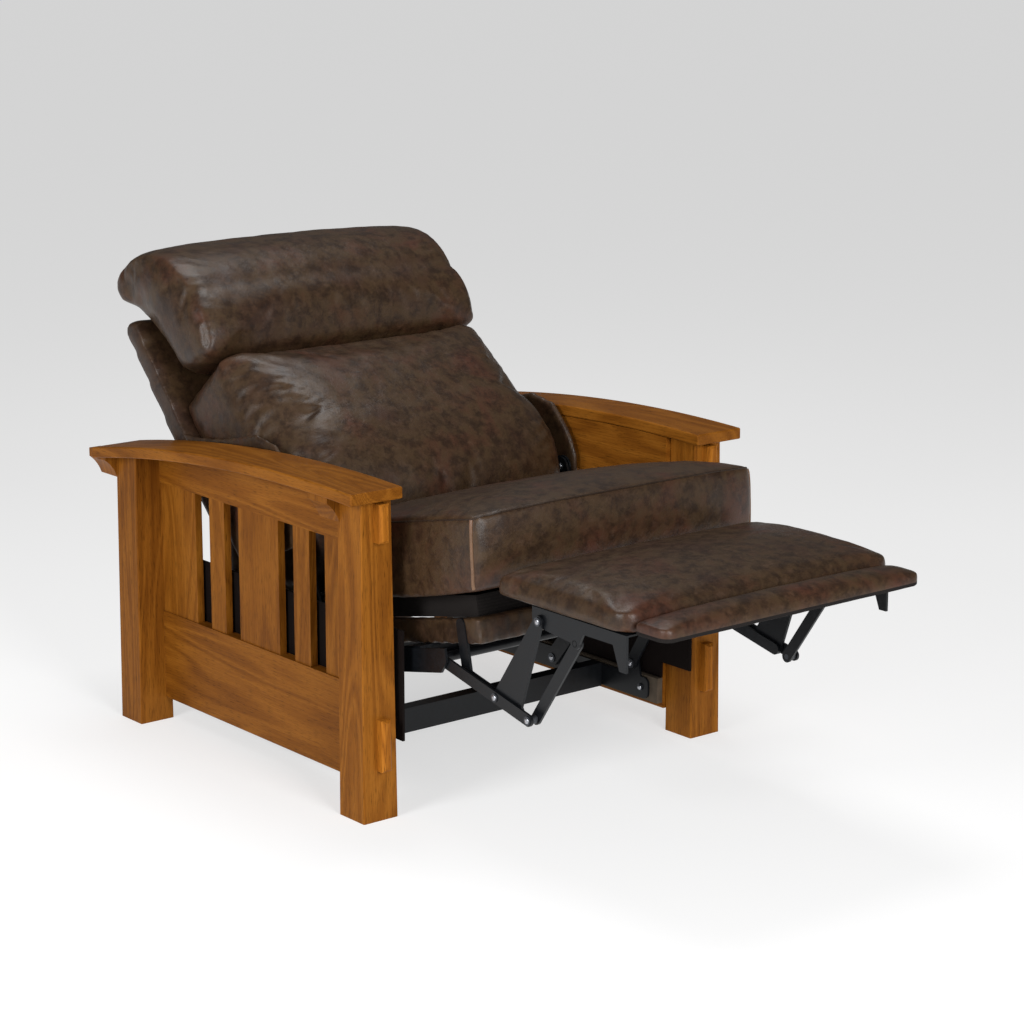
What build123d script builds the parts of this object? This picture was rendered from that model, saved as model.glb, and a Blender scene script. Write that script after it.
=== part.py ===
# Wall hugger recliner, drawn open: the back down and the footrest out.
# X runs to the sitter's left, the front is toward -Y and Z is up.
# The origin is on the floor under the middle of the open chair.
# Places along Y are written from the middle of the side frames, and every piece is set back from
# there to the origin as it is saved.
# Lengths are in millimetres, angles in degrees.
import os
from math import cos, hypot, radians, sin, sqrt

from build123d import *

os.makedirs("parts", exist_ok=True)

# General
overrun = 5
seat_gap = 0.5
edge_ease = 2
origin_shift = 250

# Oak side frames
posts_depth = 846
post_size = 77
post_taper = 5
post_reach = 620
rail_thick = 24
rail_proud = 7
bottom_rail_low = 46
bottom_rail_height = 183
slot_height = 266
slot_width = 50
narrow_slat = 53
middle_slat = 136
slat_thick = 15
slat_inset = 3
stub_thick = 10
stub_long = 32
stub_shoulder = 12
stub_inset = 4
upper_stub_height = 36

# Arms, bowed as one large arc, and what stands under them
arm_width = 115
arm_thick = 22.5
arm_front_y = -438
arm_front_z = 622
arm_rear_y = 455
arm_rear_z = 561
arm_bow = 25
arm_ease = 3
corbel_reach = 27
corbel_height = 100
corbel_nose = 12
corbel_width = 62
corbel_bow = 15
tenon_wide = 22
tenon_proud = 18
tenon_deep = 14
tenon_bevel = 5
lower_tenon_z = 145
lower_tenon_height = 98
upper_tenon_z = 559
upper_tenon_height = 72

# Steel base between the side frames
plate_thick = 5
link_gap = 1
cleat_thick = 14
cleat_height = 52
cleat_low = 58
cleat_end_gap = 1
base_plate_front = 322
base_plate_rear = 318
base_plate_height = 44
member_height = 49
member_wide = 30
member_wall = 3
front_member_y = -165
rear_member_y = 205
bolt_radius = 7
bolt_head = 3
bolt_places = (-300, -95, 110, 290)

# Seat carriage. s runs back along the seat and t up from it, from the low front edge of its box.
seat_pitch = 12
seat_front_y = -590
seat_front_z = 353
seat_plate_room = 25
seat_plate_low = 47
seat_plate_high = 3
seat_plate_nose = 70
seat_plate_end = 478
seat_arm_half = 20
front_swing_s = 230
rear_swing_s = 450
swing_t = -25
front_swing_length = 178.6
front_swing_lean = 32
rear_swing_length = 197.2
rear_swing_lean = 40.2
swing_eye = 13
swing_rear_eye = 17
swing_pin = 6
open_pivot_slack = 3.8
hinge_s = 487.9
hinge_t = 254
foot_flange = 5
foot_flange_long = 50
foot_flange_s = (150, 480)

# Seat box, deck and cushion
box_half = 300
box_long = 600
box_high = 48
box_wall = 22
deck_inset = 12
deck_thick = 39
spring_wire = 4
spring_count = 4
spring_waves = 6
spring_wave_half = 22
cushion_overhang = 35
cushion_low = 88
cushion_front_low = -43
cushion_front_low_t = 100
cushion_front_high = -63
cushion_front_high_t = 229
cushion_rear = 389
cushion_rear_low_t = 98
cushion_front_spread = 8
cushion_nose_spread = 27
cushion_side_crown = 5
cushion_crown = 34
cushion_rear_rise = 14
cushion_face_bulge = 12
cushion_rear_bulge = 2
cushion_sag = 2

# Footrest linkage
drive_s = 98.2
drive_t = -21.9
drive_angle = 204.35
drive_near = 163.2
drive_far = 256.6
rise_angle = 136.56
rise_length = 195.4
tail_angle = 207.8
tail_length = 53.8
control_angle = 204.41
control_length = 158.7
link_eye = 11
link_pin = 5
running_fit = 0.08
open_pin_slack = 1
pin_head = 2
pin_head_radius = 8
tube_radius = 9
journal_radius = 6

# Footrest pads, measured from the rear low edge of the main board, outward and up
pad_rear_y = -655
pad_low_z = 460
pad_overhang = 20
pad_long = 345
board_thick = 15
board_inset = 8
board_corner = 40
pad_side_rise = 50
pad_crown = 15
pad_swell = 2
bracket_edge = 22
bracket_flange = 27
bracket_sheet = 3
bracket_nose = 65
bracket_nose_long = 17
bracket_end_gap = 8
bracket_start = 92
flipper_short = 17
flipper_long = 80
flipper_lift = 2
flipper_board = 12
flipper_rise = 38
flipper_crown = 7
flipper_gap = 2
flipper_inset = 6
hinge_drop = 4
knuckle_radius = 4
hinge_pin_radius = 2
leaf_sheet = 3
leaf_wide = 40
leaf_long = 45
hinge_from_end = 78

# Back. u runs up the board and v forward from it, from the hinge with the seat.
back_rise = 49
back_side_gap = 12
board_front = 218
back_board_thick = 45
back_board_low = 36
back_board_top = 598
back_board_round = 20
cheek_thick = 10
back_cushion_inset = 26
back_cushion_top = 377
back_cushion_foot = 60
back_cushion_spread = 8
back_cushion_upper_spread = 20
back_cushion_middle_spread = 27
back_cushion_lower_spread = 33
back_cushion_nose_spread = 57
back_cushion_lip_spread = 72
back_cushion_heel_spread = 60
back_cushion_heel_drop = 20
bolster_inset = 8
bolster_spread = 8
bolster_jaw_drop = 13
hinge_plate_reach = 120
hinge_plate_rise = 60
hinge_eye = 22

# Worked out from the sizes above. Across the chair everything is set out from the seat box.
post_outer_y = posts_depth / 2
post_inner_y = post_outer_y - post_size
seat_plate_x = box_half + seat_plate_room
swing_x = seat_plate_x + plate_thick + link_gap
base_inner_x = swing_x + plate_thick + link_gap
base_outer_x = base_inner_x + plate_thick
rail_inner_x = base_outer_x + cleat_thick
rail_outer_x = rail_inner_x + rail_thick
post_inner_x = rail_inner_x + rail_proud
post_outer_x = post_inner_x + post_size
slot_low = bottom_rail_low + bottom_rail_height
slot_high = slot_low + slot_height
cleat_half = post_inner_y - cleat_end_gap
cushion_half = box_half + cushion_overhang
pad_half = box_half + pad_overhang
flipper_half = pad_half - flipper_short
hinge_x = flipper_half - hinge_from_end
back_half = rail_inner_x - back_side_gap
back_cushion_half = back_half - back_cushion_inset
bolster_half = back_half - bolster_inset
drive_x = seat_plate_x - link_gap - plate_thick
rise_x = drive_x - link_gap - plate_thick
bracket_x = rise_x - link_gap - plate_thick
lower_x = bracket_x - link_gap - plate_thick


def save(piece, name):
    placed = Pos(0, origin_shift, 0) * piece.part
    placed.label = name
    export_step(placed, f"parts/{name}.step")


def save_pair(left, name):
    with BuildPart() as right:
        mirror(left.part, about=Plane.YZ)
    save(left, f"{name}_left")
    save(right, f"{name}_right")


def save_both(left, name):
    with BuildPart() as both:
        add(left.part)
        mirror(left.part, about=Plane.YZ)
    save(both, name)


def polar(start, length, angle):
    return (start[0] + length * cos(radians(angle)), start[1] + length * sin(radians(angle)))


def side_plane(x):
    return Plane.YZ.offset(x)


def seat_plane(x):
    along = (0, cos(radians(seat_pitch)), -sin(radians(seat_pitch)))
    return Plane(origin=(x, seat_front_y, seat_front_z), x_dir=along, z_dir=(1, 0, 0))


def seat_point(s, t):
    place = seat_plane(0).from_local_coords(Vector(s, t, 0))
    return (place.Y, place.Z)


def back_plane(x):
    y, z = seat_point(*back_pivot)
    along = (0, cos(radians(back_rise)), sin(radians(back_rise)))
    return Plane(origin=(x, y, z), x_dir=along, z_dir=(1, 0, 0))


def pad_point(out, up):
    return (pad_rear_y - out, pad_low_z + up)


# Seat-frame pivots of the footrest linkage, as drawn
drive_pivot = (drive_s, drive_t)
near_pivot = polar(drive_pivot, drive_near, drive_angle)
far_pivot = polar(drive_pivot, drive_far, drive_angle)
near_top = polar(near_pivot, rise_length, rise_angle)
far_top = polar(far_pivot, rise_length, rise_angle)
tail_pivot = polar(near_pivot, tail_length, tail_angle)
control_pivot = polar(tail_pivot, -control_length, control_angle)

# Seat-frame pivot of the back
back_pivot = (hinge_s, hinge_t)

# Carriage pivots in the upright YZ plane
front_swing_top = seat_point(front_swing_s, swing_t)
rear_swing_top = seat_point(rear_swing_s, swing_t)
front_swing_foot = polar(front_swing_top, -front_swing_length, 90 + front_swing_lean)
rear_swing_foot = polar(rear_swing_top, -rear_swing_length, 90 + rear_swing_lean)


def pin_sketch(plane, places, radius):
    with BuildSketch(plane) as eyes:
        with Locations(*places):
            Circle(radius)
    return eyes.sketch


def hull_sketch(plane, places, radius):
    with BuildSketch(plane) as outline:
        with Locations(*places):
            Circle(radius)
        make_hull()
    return outline.sketch


def flat_link(plane_at, x_inner, corners, eye, holes):
    # Holes are pairs of a place and a radius
    with BuildPart() as link:
        extrude(hull_sketch(plane_at(x_inner), corners, eye), amount=plate_thick)
        for place, radius in holes:
            extrude(pin_sketch(plane_at(x_inner), [place], radius), amount=plate_thick, mode=Mode.SUBTRACT)
    return link


# The bow of the arms: a circle through both ends, with the given rise over its chord
chord_y = arm_front_y - arm_rear_y
chord_z = arm_front_z - arm_rear_z
chord = hypot(chord_y, chord_z)
bow_radius = chord * chord / (8 * arm_bow) + arm_bow / 2
bow_y = (arm_front_y + arm_rear_y) / 2 - (bow_radius - arm_bow) * chord_z / chord
bow_z = (arm_front_z + arm_rear_z) / 2 + (bow_radius - arm_bow) * chord_y / chord


def arm_top(y):
    return bow_z + sqrt(bow_radius ** 2 - (y - bow_y) ** 2)


def arm_low(y):
    return arm_top(y) - arm_thick


def under_arm(y0, y1, floor_z, x):
    # The space from floor_z up to the arm, between two places along it
    middle = (y0 + y1) / 2
    with BuildSketch(side_plane(x)) as space:
        with BuildLine():
            Polyline((y1, arm_low(y1)), (y1, floor_z), (y0, floor_z), (y0, arm_low(y0)))
            ThreePointArc((y0, arm_low(y0)), (middle, arm_low(middle)), (y1, arm_low(y1)))
        make_face()
    return space.sketch


def over_arm(x):
    # Everything over the arm's underside, to trim what stands below it
    y0 = arm_front_y - overrun
    y1 = arm_rear_y + overrun
    middle = (y0 + y1) / 2
    high = post_reach + overrun
    with BuildSketch(side_plane(x)) as space:
        with BuildLine():
            Polyline((y1, arm_low(y1)), (y1, high), (y0, high), (y0, arm_low(y0)))
            ThreePointArc((y0, arm_low(y0)), (middle, arm_low(middle)), (y1, arm_low(y1)))
        make_face()
    return space.sketch


def post_face_x(z):
    return post_outer_x - post_taper * z / post_reach


# Posts. Each end has the same taper: both X faces and the face away from the middle.
def rail_stub_box(end, low, high):
    # Where a rail's stub goes into a post
    y0 = end * post_inner_y
    y1 = end * (post_inner_y + stub_long)
    return (min(y0, y1), max(y0, y1), low, high)


bottom_stub = (bottom_rail_low + stub_shoulder, slot_low - stub_shoulder)
upper_stub = (slot_high + stub_shoulder, slot_high + stub_shoulder + upper_stub_height)
stub_inner_x = rail_outer_x - stub_inset - stub_thick


def tenon_sketch(tenon_y):
    with BuildSketch(Plane.XZ.offset(-tenon_y)) as faces:
        with Locations((post_outer_x - post_size / 2 - stub_inset, lower_tenon_z)):
            Rectangle(tenon_wide, lower_tenon_height)
        with Locations((post_outer_x - post_size / 2 - stub_inset, upper_tenon_z)):
            Rectangle(tenon_wide, upper_tenon_height)
    return faces.sketch


tenon_back_y = tenon_deep - post_outer_y


def build_post(end):
    top_wide = post_size - 2 * post_taper
    top_deep = post_size - post_taper
    with BuildPart() as post:
        with BuildSketch(Plane.XY):
            with Locations((post_outer_x - post_size / 2, end * (post_inner_y + post_size / 2))):
                Rectangle(post_size, post_size)
        with BuildSketch(Plane.XY.offset(post_reach)):
            with Locations((post_outer_x - post_size / 2, end * (post_inner_y + top_deep / 2))):
                Rectangle(top_wide, top_deep)
        loft()
        uprights = [edge for edge in post.edges() if abs(edge.tangent_at(0.5).Z) > 0.9]
        chamfer(uprights, edge_ease)
        extrude(over_arm(post_inner_x - overrun), amount=post_size + 2 * overrun, mode=Mode.SUBTRACT)
        for low, high in (bottom_stub, upper_stub):
            y0, y1, z0, z1 = rail_stub_box(end, low, high)
            with BuildSketch(side_plane(stub_inner_x)):
                with Locations(((y0 + y1) / 2, (z0 + z1) / 2)):
                    Rectangle(y1 - y0, z1 - z0)
            extrude(amount=stub_thick, mode=Mode.SUBTRACT)
        if end < 0:
            extrude(tenon_sketch(tenon_back_y), amount=tenon_deep + overrun, mode=Mode.SUBTRACT)
    return post


save_pair(build_post(-1), "front_post")
save_pair(build_post(1), "rear_post")

with BuildPart() as tenons:
    extrude(tenon_sketch(tenon_back_y), amount=tenon_deep + tenon_proud)
    fronts = tenons.faces().filter_by(Axis.Y).group_by(Axis.Y)[0]
    chamfer(fronts.edges(), tenon_bevel)
save_both(tenons, "through_tenons")


# Rails, with the stubs that seat them in the posts
def add_stubs(low, high):
    for end in (-1, 1):
        y0, y1, z0, z1 = rail_stub_box(end, low, high)
        with BuildSketch(side_plane(stub_inner_x)) as stub:
            with Locations(((y0 + y1) / 2, (z0 + z1) / 2)):
                Rectangle(y1 - y0, z1 - z0)
        extrude(stub.sketch, amount=stub_thick)


with BuildPart() as bottom_rail:
    with BuildSketch(side_plane(rail_inner_x)):
        with Locations((0, bottom_rail_low + bottom_rail_height / 2)):
            Rectangle(2 * post_inner_y, bottom_rail_height)
    extrude(amount=rail_thick)
    long_edges = bottom_rail.edges().filter_by(Axis.Y).group_by(Axis.Z)[0]
    chamfer(long_edges, edge_ease)
    add_stubs(*bottom_stub)
save_pair(bottom_rail, "bottom_rail")

with BuildPart() as upper_rail:
    extrude(under_arm(-post_inner_y, post_inner_y, slot_high, rail_inner_x), amount=rail_thick)
    add_stubs(*upper_stub)
save_pair(upper_rail, "upper_rail")

# Slats: a wide one in the middle, then a slot, a narrow one, a slot and the end slat
slot_near = middle_slat / 2
narrow_near = slot_near + slot_width
narrow_far = narrow_near + narrow_slat
end_near = narrow_far + slot_width
slat_spans = (
    (-post_inner_y, -end_near),
    (-narrow_far, -narrow_near),
    (-slot_near, slot_near),
    (narrow_near, narrow_far),
    (end_near, post_inner_y),
)
with BuildPart() as slats:
    with BuildSketch(side_plane(rail_outer_x - slat_inset - slat_thick)):
        for y0, y1 in slat_spans:
            with Locations(((y0 + y1) / 2, (slot_low + slot_high) / 2)):
                Rectangle(y1 - y0, slot_height)
    extrude(amount=slat_thick)
save_pair(slats, "slats")

# Arms
arm_middle = (arm_front_y + arm_rear_y) / 2
with BuildPart() as arm:
    with BuildSketch(side_plane(rail_inner_x)):
        with BuildLine():
            ThreePointArc((arm_front_y, arm_low(arm_front_y)), (arm_middle, arm_low(arm_middle)),
                          (arm_rear_y, arm_low(arm_rear_y)))
            Line((arm_rear_y, arm_low(arm_rear_y)), (arm_rear_y, arm_rear_z))
            ThreePointArc((arm_rear_y, arm_rear_z), (arm_middle, arm_top(arm_middle)),
                          (arm_front_y, arm_front_z))
            Line((arm_front_y, arm_front_z), (arm_front_y, arm_low(arm_front_y)))
        make_face()
    extrude(amount=arm_width)
    arm_edges = arm.faces().filter_by(GeomType.CYLINDER).edges().filter_by(GeomType.CIRCLE)
    chamfer(arm_edges, arm_ease)
save_pair(arm, "arm")


# Corbels: a concave bracket on the outside of each post, close under the arm
def corbel_sketch(end):
    middle = end * (post_inner_y + post_size / 2)
    top = arm_low(middle) + overrun
    low = top - overrun - corbel_height
    nose = top - overrun - corbel_nose
    reach = post_face_x(top) + corbel_reach
    with BuildSketch(Plane.XZ.offset(-middle - corbel_width / 2)) as profile:
        with BuildLine():
            Polyline((reach, nose), (reach, top), (post_face_x(top), top), (post_face_x(low), low))
            SagittaArc((post_face_x(low), low), (reach, nose), corbel_bow)
        make_face()
    return profile.sketch


with BuildPart() as corbels:
    for end in (-1, 1):
        extrude(corbel_sketch(end), amount=-corbel_width)
    extrude(over_arm(post_inner_x), amount=arm_width, mode=Mode.SUBTRACT)
save_both(corbels, "corbels")

# Base: a cleat on each bottom rail, a plate that carries the swing links, and two cross members
with BuildPart() as cleat:
    with BuildSketch(side_plane(base_outer_x)):
        with Locations((0, cleat_low + cleat_height / 2)):
            Rectangle(2 * cleat_half, cleat_height)
    extrude(amount=rail_inner_x - base_outer_x)
save_both(cleat, "side_cleats")

plate_low = cleat_low + (cleat_height - base_plate_height) / 2
plate_high = plate_low + base_plate_height
with BuildPart() as base_plate:
    with BuildSketch(side_plane(base_inner_x)):
        with Locations(((base_plate_rear - base_plate_front) / 2, (plate_low + plate_high) / 2)):
            RectangleRounded(base_plate_front + base_plate_rear, base_plate_height, swing_eye)
    extrude(amount=plate_thick)
    foot_y, foot_z = front_swing_foot
    ear = [front_swing_foot, (foot_y - swing_eye, plate_low + swing_rear_eye),
           (foot_y + swing_eye, plate_low + swing_rear_eye)]
    extrude(hull_sketch(side_plane(base_inner_x), ear, swing_rear_eye), amount=plate_thick)
    for place in (front_swing_foot, rear_swing_foot):
        extrude(pin_sketch(side_plane(base_inner_x), [place], swing_pin), amount=plate_thick,
                mode=Mode.SUBTRACT)
save_pair(base_plate, "base_plate")


def build_member(y, facing):
    # A steel channel, its web toward the end that it faces
    with BuildPart() as member:
        with BuildSketch(side_plane(-base_inner_x)):
            with Locations((y, cleat_low + member_height / 2)):
                Rectangle(member_wide, member_height)
            with Locations((y - facing * member_wall, cleat_low + member_height / 2)):
                Rectangle(member_wide, member_height - 2 * member_wall, mode=Mode.SUBTRACT)
        extrude(amount=2 * base_inner_x)
    return member


save(build_member(front_member_y, -1), "front_cross_member")
save(build_member(rear_member_y, 1), "rear_cross_member")

with BuildPart() as frame_bolts:
    bolt_spots = [(y, cleat_low + cleat_height / 2) for y in bolt_places]
    extrude(pin_sketch(side_plane(base_inner_x - bolt_head), bolt_spots, bolt_radius), amount=bolt_head)
save_both(frame_bolts, "frame_bolts")

# Swing links and the studs that they turn on
with BuildPart() as base_studs:
    studs = [front_swing_foot, rear_swing_foot]
    extrude(pin_sketch(side_plane(swing_x), studs, swing_pin), amount=2 * plate_thick + link_gap)
    extrude(pin_sketch(side_plane(swing_x - pin_head), studs, pin_head_radius + pin_head), amount=pin_head)
save_both(base_studs, "base_pivot_studs")

front_swing = flat_link(side_plane, swing_x, [front_swing_foot, front_swing_top], swing_eye,
                        [(front_swing_foot, swing_pin + running_fit),
                         (front_swing_top, swing_pin + running_fit)])
save_pair(front_swing, "front_swing_link")

rear_swing = flat_link(side_plane, swing_x, [rear_swing_foot, rear_swing_top], swing_rear_eye,
                       [(rear_swing_foot, swing_pin + running_fit),
                        (rear_swing_top, swing_pin + open_pivot_slack)])
save_pair(rear_swing, "rear_swing_link")

# Seat plates: the bar under the box, its nose at the torsion tube, and the arm up to the back hinge
with BuildPart() as seat_plate:
    with BuildSketch(seat_plane(seat_plate_x)):
        with BuildLine():
            Polyline((seat_plate_nose, -seat_plate_low + seat_arm_half), (seat_plate_nose, -seat_plate_high),
                     (seat_plate_end - 2 * seat_arm_half, -seat_plate_high),
                     (hinge_s - seat_arm_half, hinge_t), (hinge_s + seat_arm_half, hinge_t),
                     (seat_plate_end + seat_arm_half / 2, -seat_plate_low),
                     (seat_plate_nose + seat_arm_half, -seat_plate_low), close=True)
        make_face()
        with Locations(back_pivot):
            Circle(seat_arm_half)
    extrude(amount=plate_thick)
    for place, radius in ((back_pivot, swing_pin), ((front_swing_s, swing_t), swing_pin),
                          ((rear_swing_s, swing_t), swing_pin), (drive_pivot, journal_radius + running_fit)):
        extrude(pin_sketch(seat_plane(seat_plate_x), [place], radius), amount=plate_thick,
                mode=Mode.SUBTRACT)
    for start in foot_flange_s:
        with BuildSketch(seat_plane(box_half - box_wall)):
            with Locations((start + foot_flange_long / 2, -foot_flange / 2)):
                Rectangle(foot_flange_long, foot_flange)
        extrude(amount=seat_plate_x - box_half + box_wall)
save_pair(seat_plate, "seat_plate")

with BuildPart() as seat_studs:
    carriage = [(front_swing_s, swing_t), (rear_swing_s, swing_t)]
    extrude(pin_sketch(seat_plane(seat_plate_x), carriage, swing_pin),
            amount=2 * plate_thick + link_gap)
    extrude(pin_sketch(seat_plane(seat_plate_x - pin_head), carriage, pin_head_radius), amount=pin_head)
    extrude(pin_sketch(seat_plane(swing_x + plate_thick), [carriage[0]], pin_head_radius + pin_head),
            amount=pin_head)
    extrude(pin_sketch(seat_plane(seat_plate_x), [back_pivot], swing_pin),
            amount=2 * plate_thick + link_gap - seat_gap)
    extrude(pin_sketch(seat_plane(seat_plate_x - pin_head), [back_pivot], pin_head_radius), amount=pin_head)
    extrude(pin_sketch(seat_plane(lower_x), [control_pivot], link_pin),
            amount=2 * plate_thick + link_gap)
save_both(seat_studs, "seat_pivot_studs")

control_half = link_eye + link_gap
with BuildPart() as control_bracket:
    tab = [control_pivot, (control_pivot[0], box_high - control_half)]
    extrude(hull_sketch(seat_plane(box_half), tab, control_half), amount=lower_x + plate_thick - box_half)
    extrude(pin_sketch(seat_plane(lower_x), [control_pivot], link_pin), amount=plate_thick,
            mode=Mode.SUBTRACT)
save_both(control_bracket, "control_brackets")


# Seat box, its springs, the deck on top and the cushion
def box_rail(s0, s1, x0, x1):
    with BuildPart() as rail:
        with BuildSketch(seat_plane(x0)):
            with Locations(((s0 + s1) / 2, box_high / 2)):
                Rectangle(s1 - s0, box_high)
        extrude(amount=x1 - x0)
    return rail


save(box_rail(0, box_wall, -box_half, box_half), "seat_box_front")
save(box_rail(box_long - box_wall, box_long, -box_half, box_half), "seat_box_rear")
save_both(box_rail(box_wall, box_long - box_wall, box_half - box_wall, box_half), "seat_box_sides")

spring_start = box_wall + spring_wire
wave = (box_long - 2 * spring_start) / (2 * spring_waves)
deck_plane = Plane(origin=(0,) + seat_point(0, box_high - spring_wire - seat_gap), x_dir=(1, 0, 0),
                   z_dir=(0, sin(radians(seat_pitch)), cos(radians(seat_pitch))))
spring_pitch = 2 * (box_half - box_wall) / (spring_count + 1)
with BuildPart() as springs:
    for index in range(spring_count):
        middle = (index + 1) * spring_pitch - (box_half - box_wall)
        with BuildSketch(deck_plane):
            with BuildLine():
                bends = [(middle, spring_start)]
                for turn in range(2 * spring_waves):
                    out = middle + (spring_wave_half if turn % 2 else -spring_wave_half)
                    s0 = spring_start + turn * wave
                    bends += [(out, s0 + wave / 4), (out, s0 + 3 * wave / 4)]
                Polyline(*bends, (middle, spring_start + 2 * spring_waves * wave))
            trace(line_width=spring_wire)
        extrude(amount=spring_wire)
save(springs, "sinuous_springs")

with BuildPart() as deck:
    with BuildSketch(seat_plane(deck_inset - box_half)):
        with Locations((box_long / 2, box_high + deck_thick / 2)):
            Rectangle(box_long - 2 * deck_inset, deck_thick)
    extrude(amount=2 * (box_half - deck_inset))
save(deck, "seat_deck")


def seat_cushion_face(x, full):
    # full runs from 0 at the sides to 1 in the middle
    half_full = (1 + full) / 2
    low = cushion_low + (1 - full) * cushion_sag
    front_low = (cushion_front_low - full * cushion_front_spread, cushion_front_low_t)
    front_high = (cushion_front_high - full * cushion_nose_spread,
                  cushion_front_high_t + full * cushion_front_spread)
    rear_high = (cushion_rear, cushion_front_high_t + full * cushion_rear_rise)
    rear_low = (cushion_rear, cushion_rear_low_t)
    crest = (cushion_rear / 8, cushion_front_high_t + cushion_side_crown
             + full * (cushion_crown - cushion_side_crown))
    face = ((front_low[0] + front_high[0]) / 2 - cushion_face_bulge * half_full,
            (front_low[1] + front_high[1]) / 2)
    back = (cushion_rear + cushion_rear_bulge * half_full, (rear_high[1] + rear_low[1]) / 2)
    shoulder = ((front_high[0] + crest[0]) / 2, (front_high[1] + 3 * crest[1]) / 4)
    slope = ((crest[0] + rear_high[0]) / 2, (3 * crest[1] + rear_high[1]) / 4)
    with BuildSketch(seat_plane(x)) as outline:
        with BuildLine():
            ThreePointArc(front_low, face, front_high)
            ThreePointArc(front_high, shoulder, crest)
            ThreePointArc(crest, slope, rear_high)
            ThreePointArc(rear_high, back, rear_low)
            ThreePointArc(rear_low, (cushion_rear / 2, low), front_low)
        make_face()
    return outline.sketch


side_shares = (-1, -0.95, -0.82, -0.6, -0.3, 0, 0.3, 0.6, 0.82, 0.95, 1)
full_shares = (0, 0.35, 0.66, 0.85, 0.97, 1, 0.97, 0.85, 0.66, 0.35, 0)
with BuildPart() as seat_cushion:
    loft(sections=[seat_cushion_face(share * cushion_half, full)
                   for share, full in zip(side_shares, full_shares)], ruled=True)
save(seat_cushion, "seat_cushion")

# Footrest linkage
drive_link = flat_link(seat_plane, drive_x, [drive_pivot, far_pivot], link_eye,
                       [(drive_pivot, journal_radius), (near_pivot, link_pin), (far_pivot, link_pin)])
save_pair(drive_link, "drive_link")

with BuildPart() as torsion_tube:
    extrude(pin_sketch(seat_plane(-drive_x), [drive_pivot], tube_radius), amount=2 * drive_x)
    reach = seat_plate_x + plate_thick
    extrude(pin_sketch(seat_plane(-reach), [drive_pivot], journal_radius), amount=2 * reach)
save(torsion_tube, "torsion_tube")

with BuildPart() as drive_studs:
    extrude(pin_sketch(seat_plane(rise_x), [near_pivot], link_pin), amount=2 * plate_thick + link_gap)
    extrude(pin_sketch(seat_plane(lower_x), [far_pivot], link_pin),
            amount=drive_x + plate_thick - lower_x)
    extrude(pin_sketch(seat_plane(bracket_x), [far_pivot], pin_head_radius),
            amount=drive_x - link_gap - bracket_x)
    extrude(pin_sketch(seat_plane(drive_x + plate_thick), [near_pivot, far_pivot], pin_head_radius),
            amount=pin_head)
save_both(drive_studs, "drive_link_studs")

upper_link = flat_link(seat_plane, rise_x, [near_pivot, near_top, tail_pivot], link_eye,
                       [(near_pivot, link_pin + running_fit), (near_top, link_pin + running_fit),
                        (tail_pivot, link_pin + open_pin_slack)])
save_pair(upper_link, "upper_footrest_link")

lower_link = flat_link(seat_plane, lower_x, [far_pivot, far_top], link_eye,
                       [(far_pivot, link_pin + running_fit), (far_top, link_pin)])
with BuildPart() as lower_with_stud:
    add(lower_link.part)
    extrude(pin_sketch(seat_plane(lower_x), [far_top], link_pin), amount=2 * plate_thick + link_gap)
save_pair(lower_with_stud, "lower_footrest_link")

control_link = flat_link(seat_plane, bracket_x, [control_pivot, tail_pivot], link_eye,
                         [(control_pivot, link_pin + running_fit)])
with BuildPart() as control_with_stud:
    add(control_link.part)
    extrude(pin_sketch(seat_plane(bracket_x), [tail_pivot], link_pin), amount=2 * plate_thick + link_gap)
save_pair(control_with_stud, "control_link")


# Footrest boards, brackets and pads
def board_sketch(z, half, near, far, corner):
    with BuildSketch(Plane.XY.offset(z)) as outline:
        with Locations((0, pad_rear_y - (near + far) / 2)):
            Rectangle(2 * half, far - near)
        fillet(outline.vertices().group_by(Axis.Y)[0], corner)
    return outline.sketch


with BuildPart() as foot_board:
    extrude(board_sketch(pad_low_z, pad_half - board_inset, board_inset, pad_long - board_inset,
                         board_corner), amount=board_thick)
save(foot_board, "footrest_board")

bracket_far = pad_long - bracket_end_gap
near_world = seat_point(*near_top)
far_world = seat_point(*far_top)
lug_low = far_world[1] - link_eye
with BuildPart() as pad_bracket:
    with BuildSketch(side_plane(bracket_x)):
        with BuildLine():
            Polyline(pad_point(bracket_start, 0), pad_point(bracket_far, 0),
                     pad_point(bracket_far, -bracket_nose),
                     pad_point(bracket_far - bracket_nose_long, -bracket_nose),
                     pad_point(bracket_far - 2 * bracket_nose_long, -bracket_edge),
                     (far_world[0] - 2 * link_eye, pad_low_z - bracket_edge),
                     (far_world[0] - link_eye, far_world[1]),
                     (far_world[0] + link_eye, lug_low + link_eye),
                     (near_world[0] + link_eye, near_world[1] - link_eye),
                     pad_point(bracket_start, -bracket_edge), close=True)
        make_face()
        with Locations(near_world, far_world):
            Circle(link_eye)
    extrude(amount=plate_thick)
    extrude(pin_sketch(side_plane(bracket_x), [near_world], link_pin), amount=plate_thick,
            mode=Mode.SUBTRACT)
    extrude(pin_sketch(side_plane(bracket_x), [far_world], link_pin + open_pin_slack), amount=plate_thick,
            mode=Mode.SUBTRACT)
    with BuildSketch(side_plane(bracket_x - bracket_flange)):
        flange_mid = pad_point((bracket_start + bracket_far) / 2, -bracket_sheet / 2)
        with Locations(flange_mid):
            Rectangle(bracket_far - bracket_start, bracket_sheet)
    extrude(amount=bracket_flange)
save_pair(pad_bracket, "pad_bracket")

with BuildPart() as bracket_studs:
    extrude(pin_sketch(side_plane(bracket_x), [near_world], link_pin), amount=2 * plate_thick + link_gap)
    extrude(pin_sketch(side_plane(rise_x + plate_thick), [near_world], pin_head_radius), amount=pin_head)
save_both(bracket_studs, "pad_bracket_studs")


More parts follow.
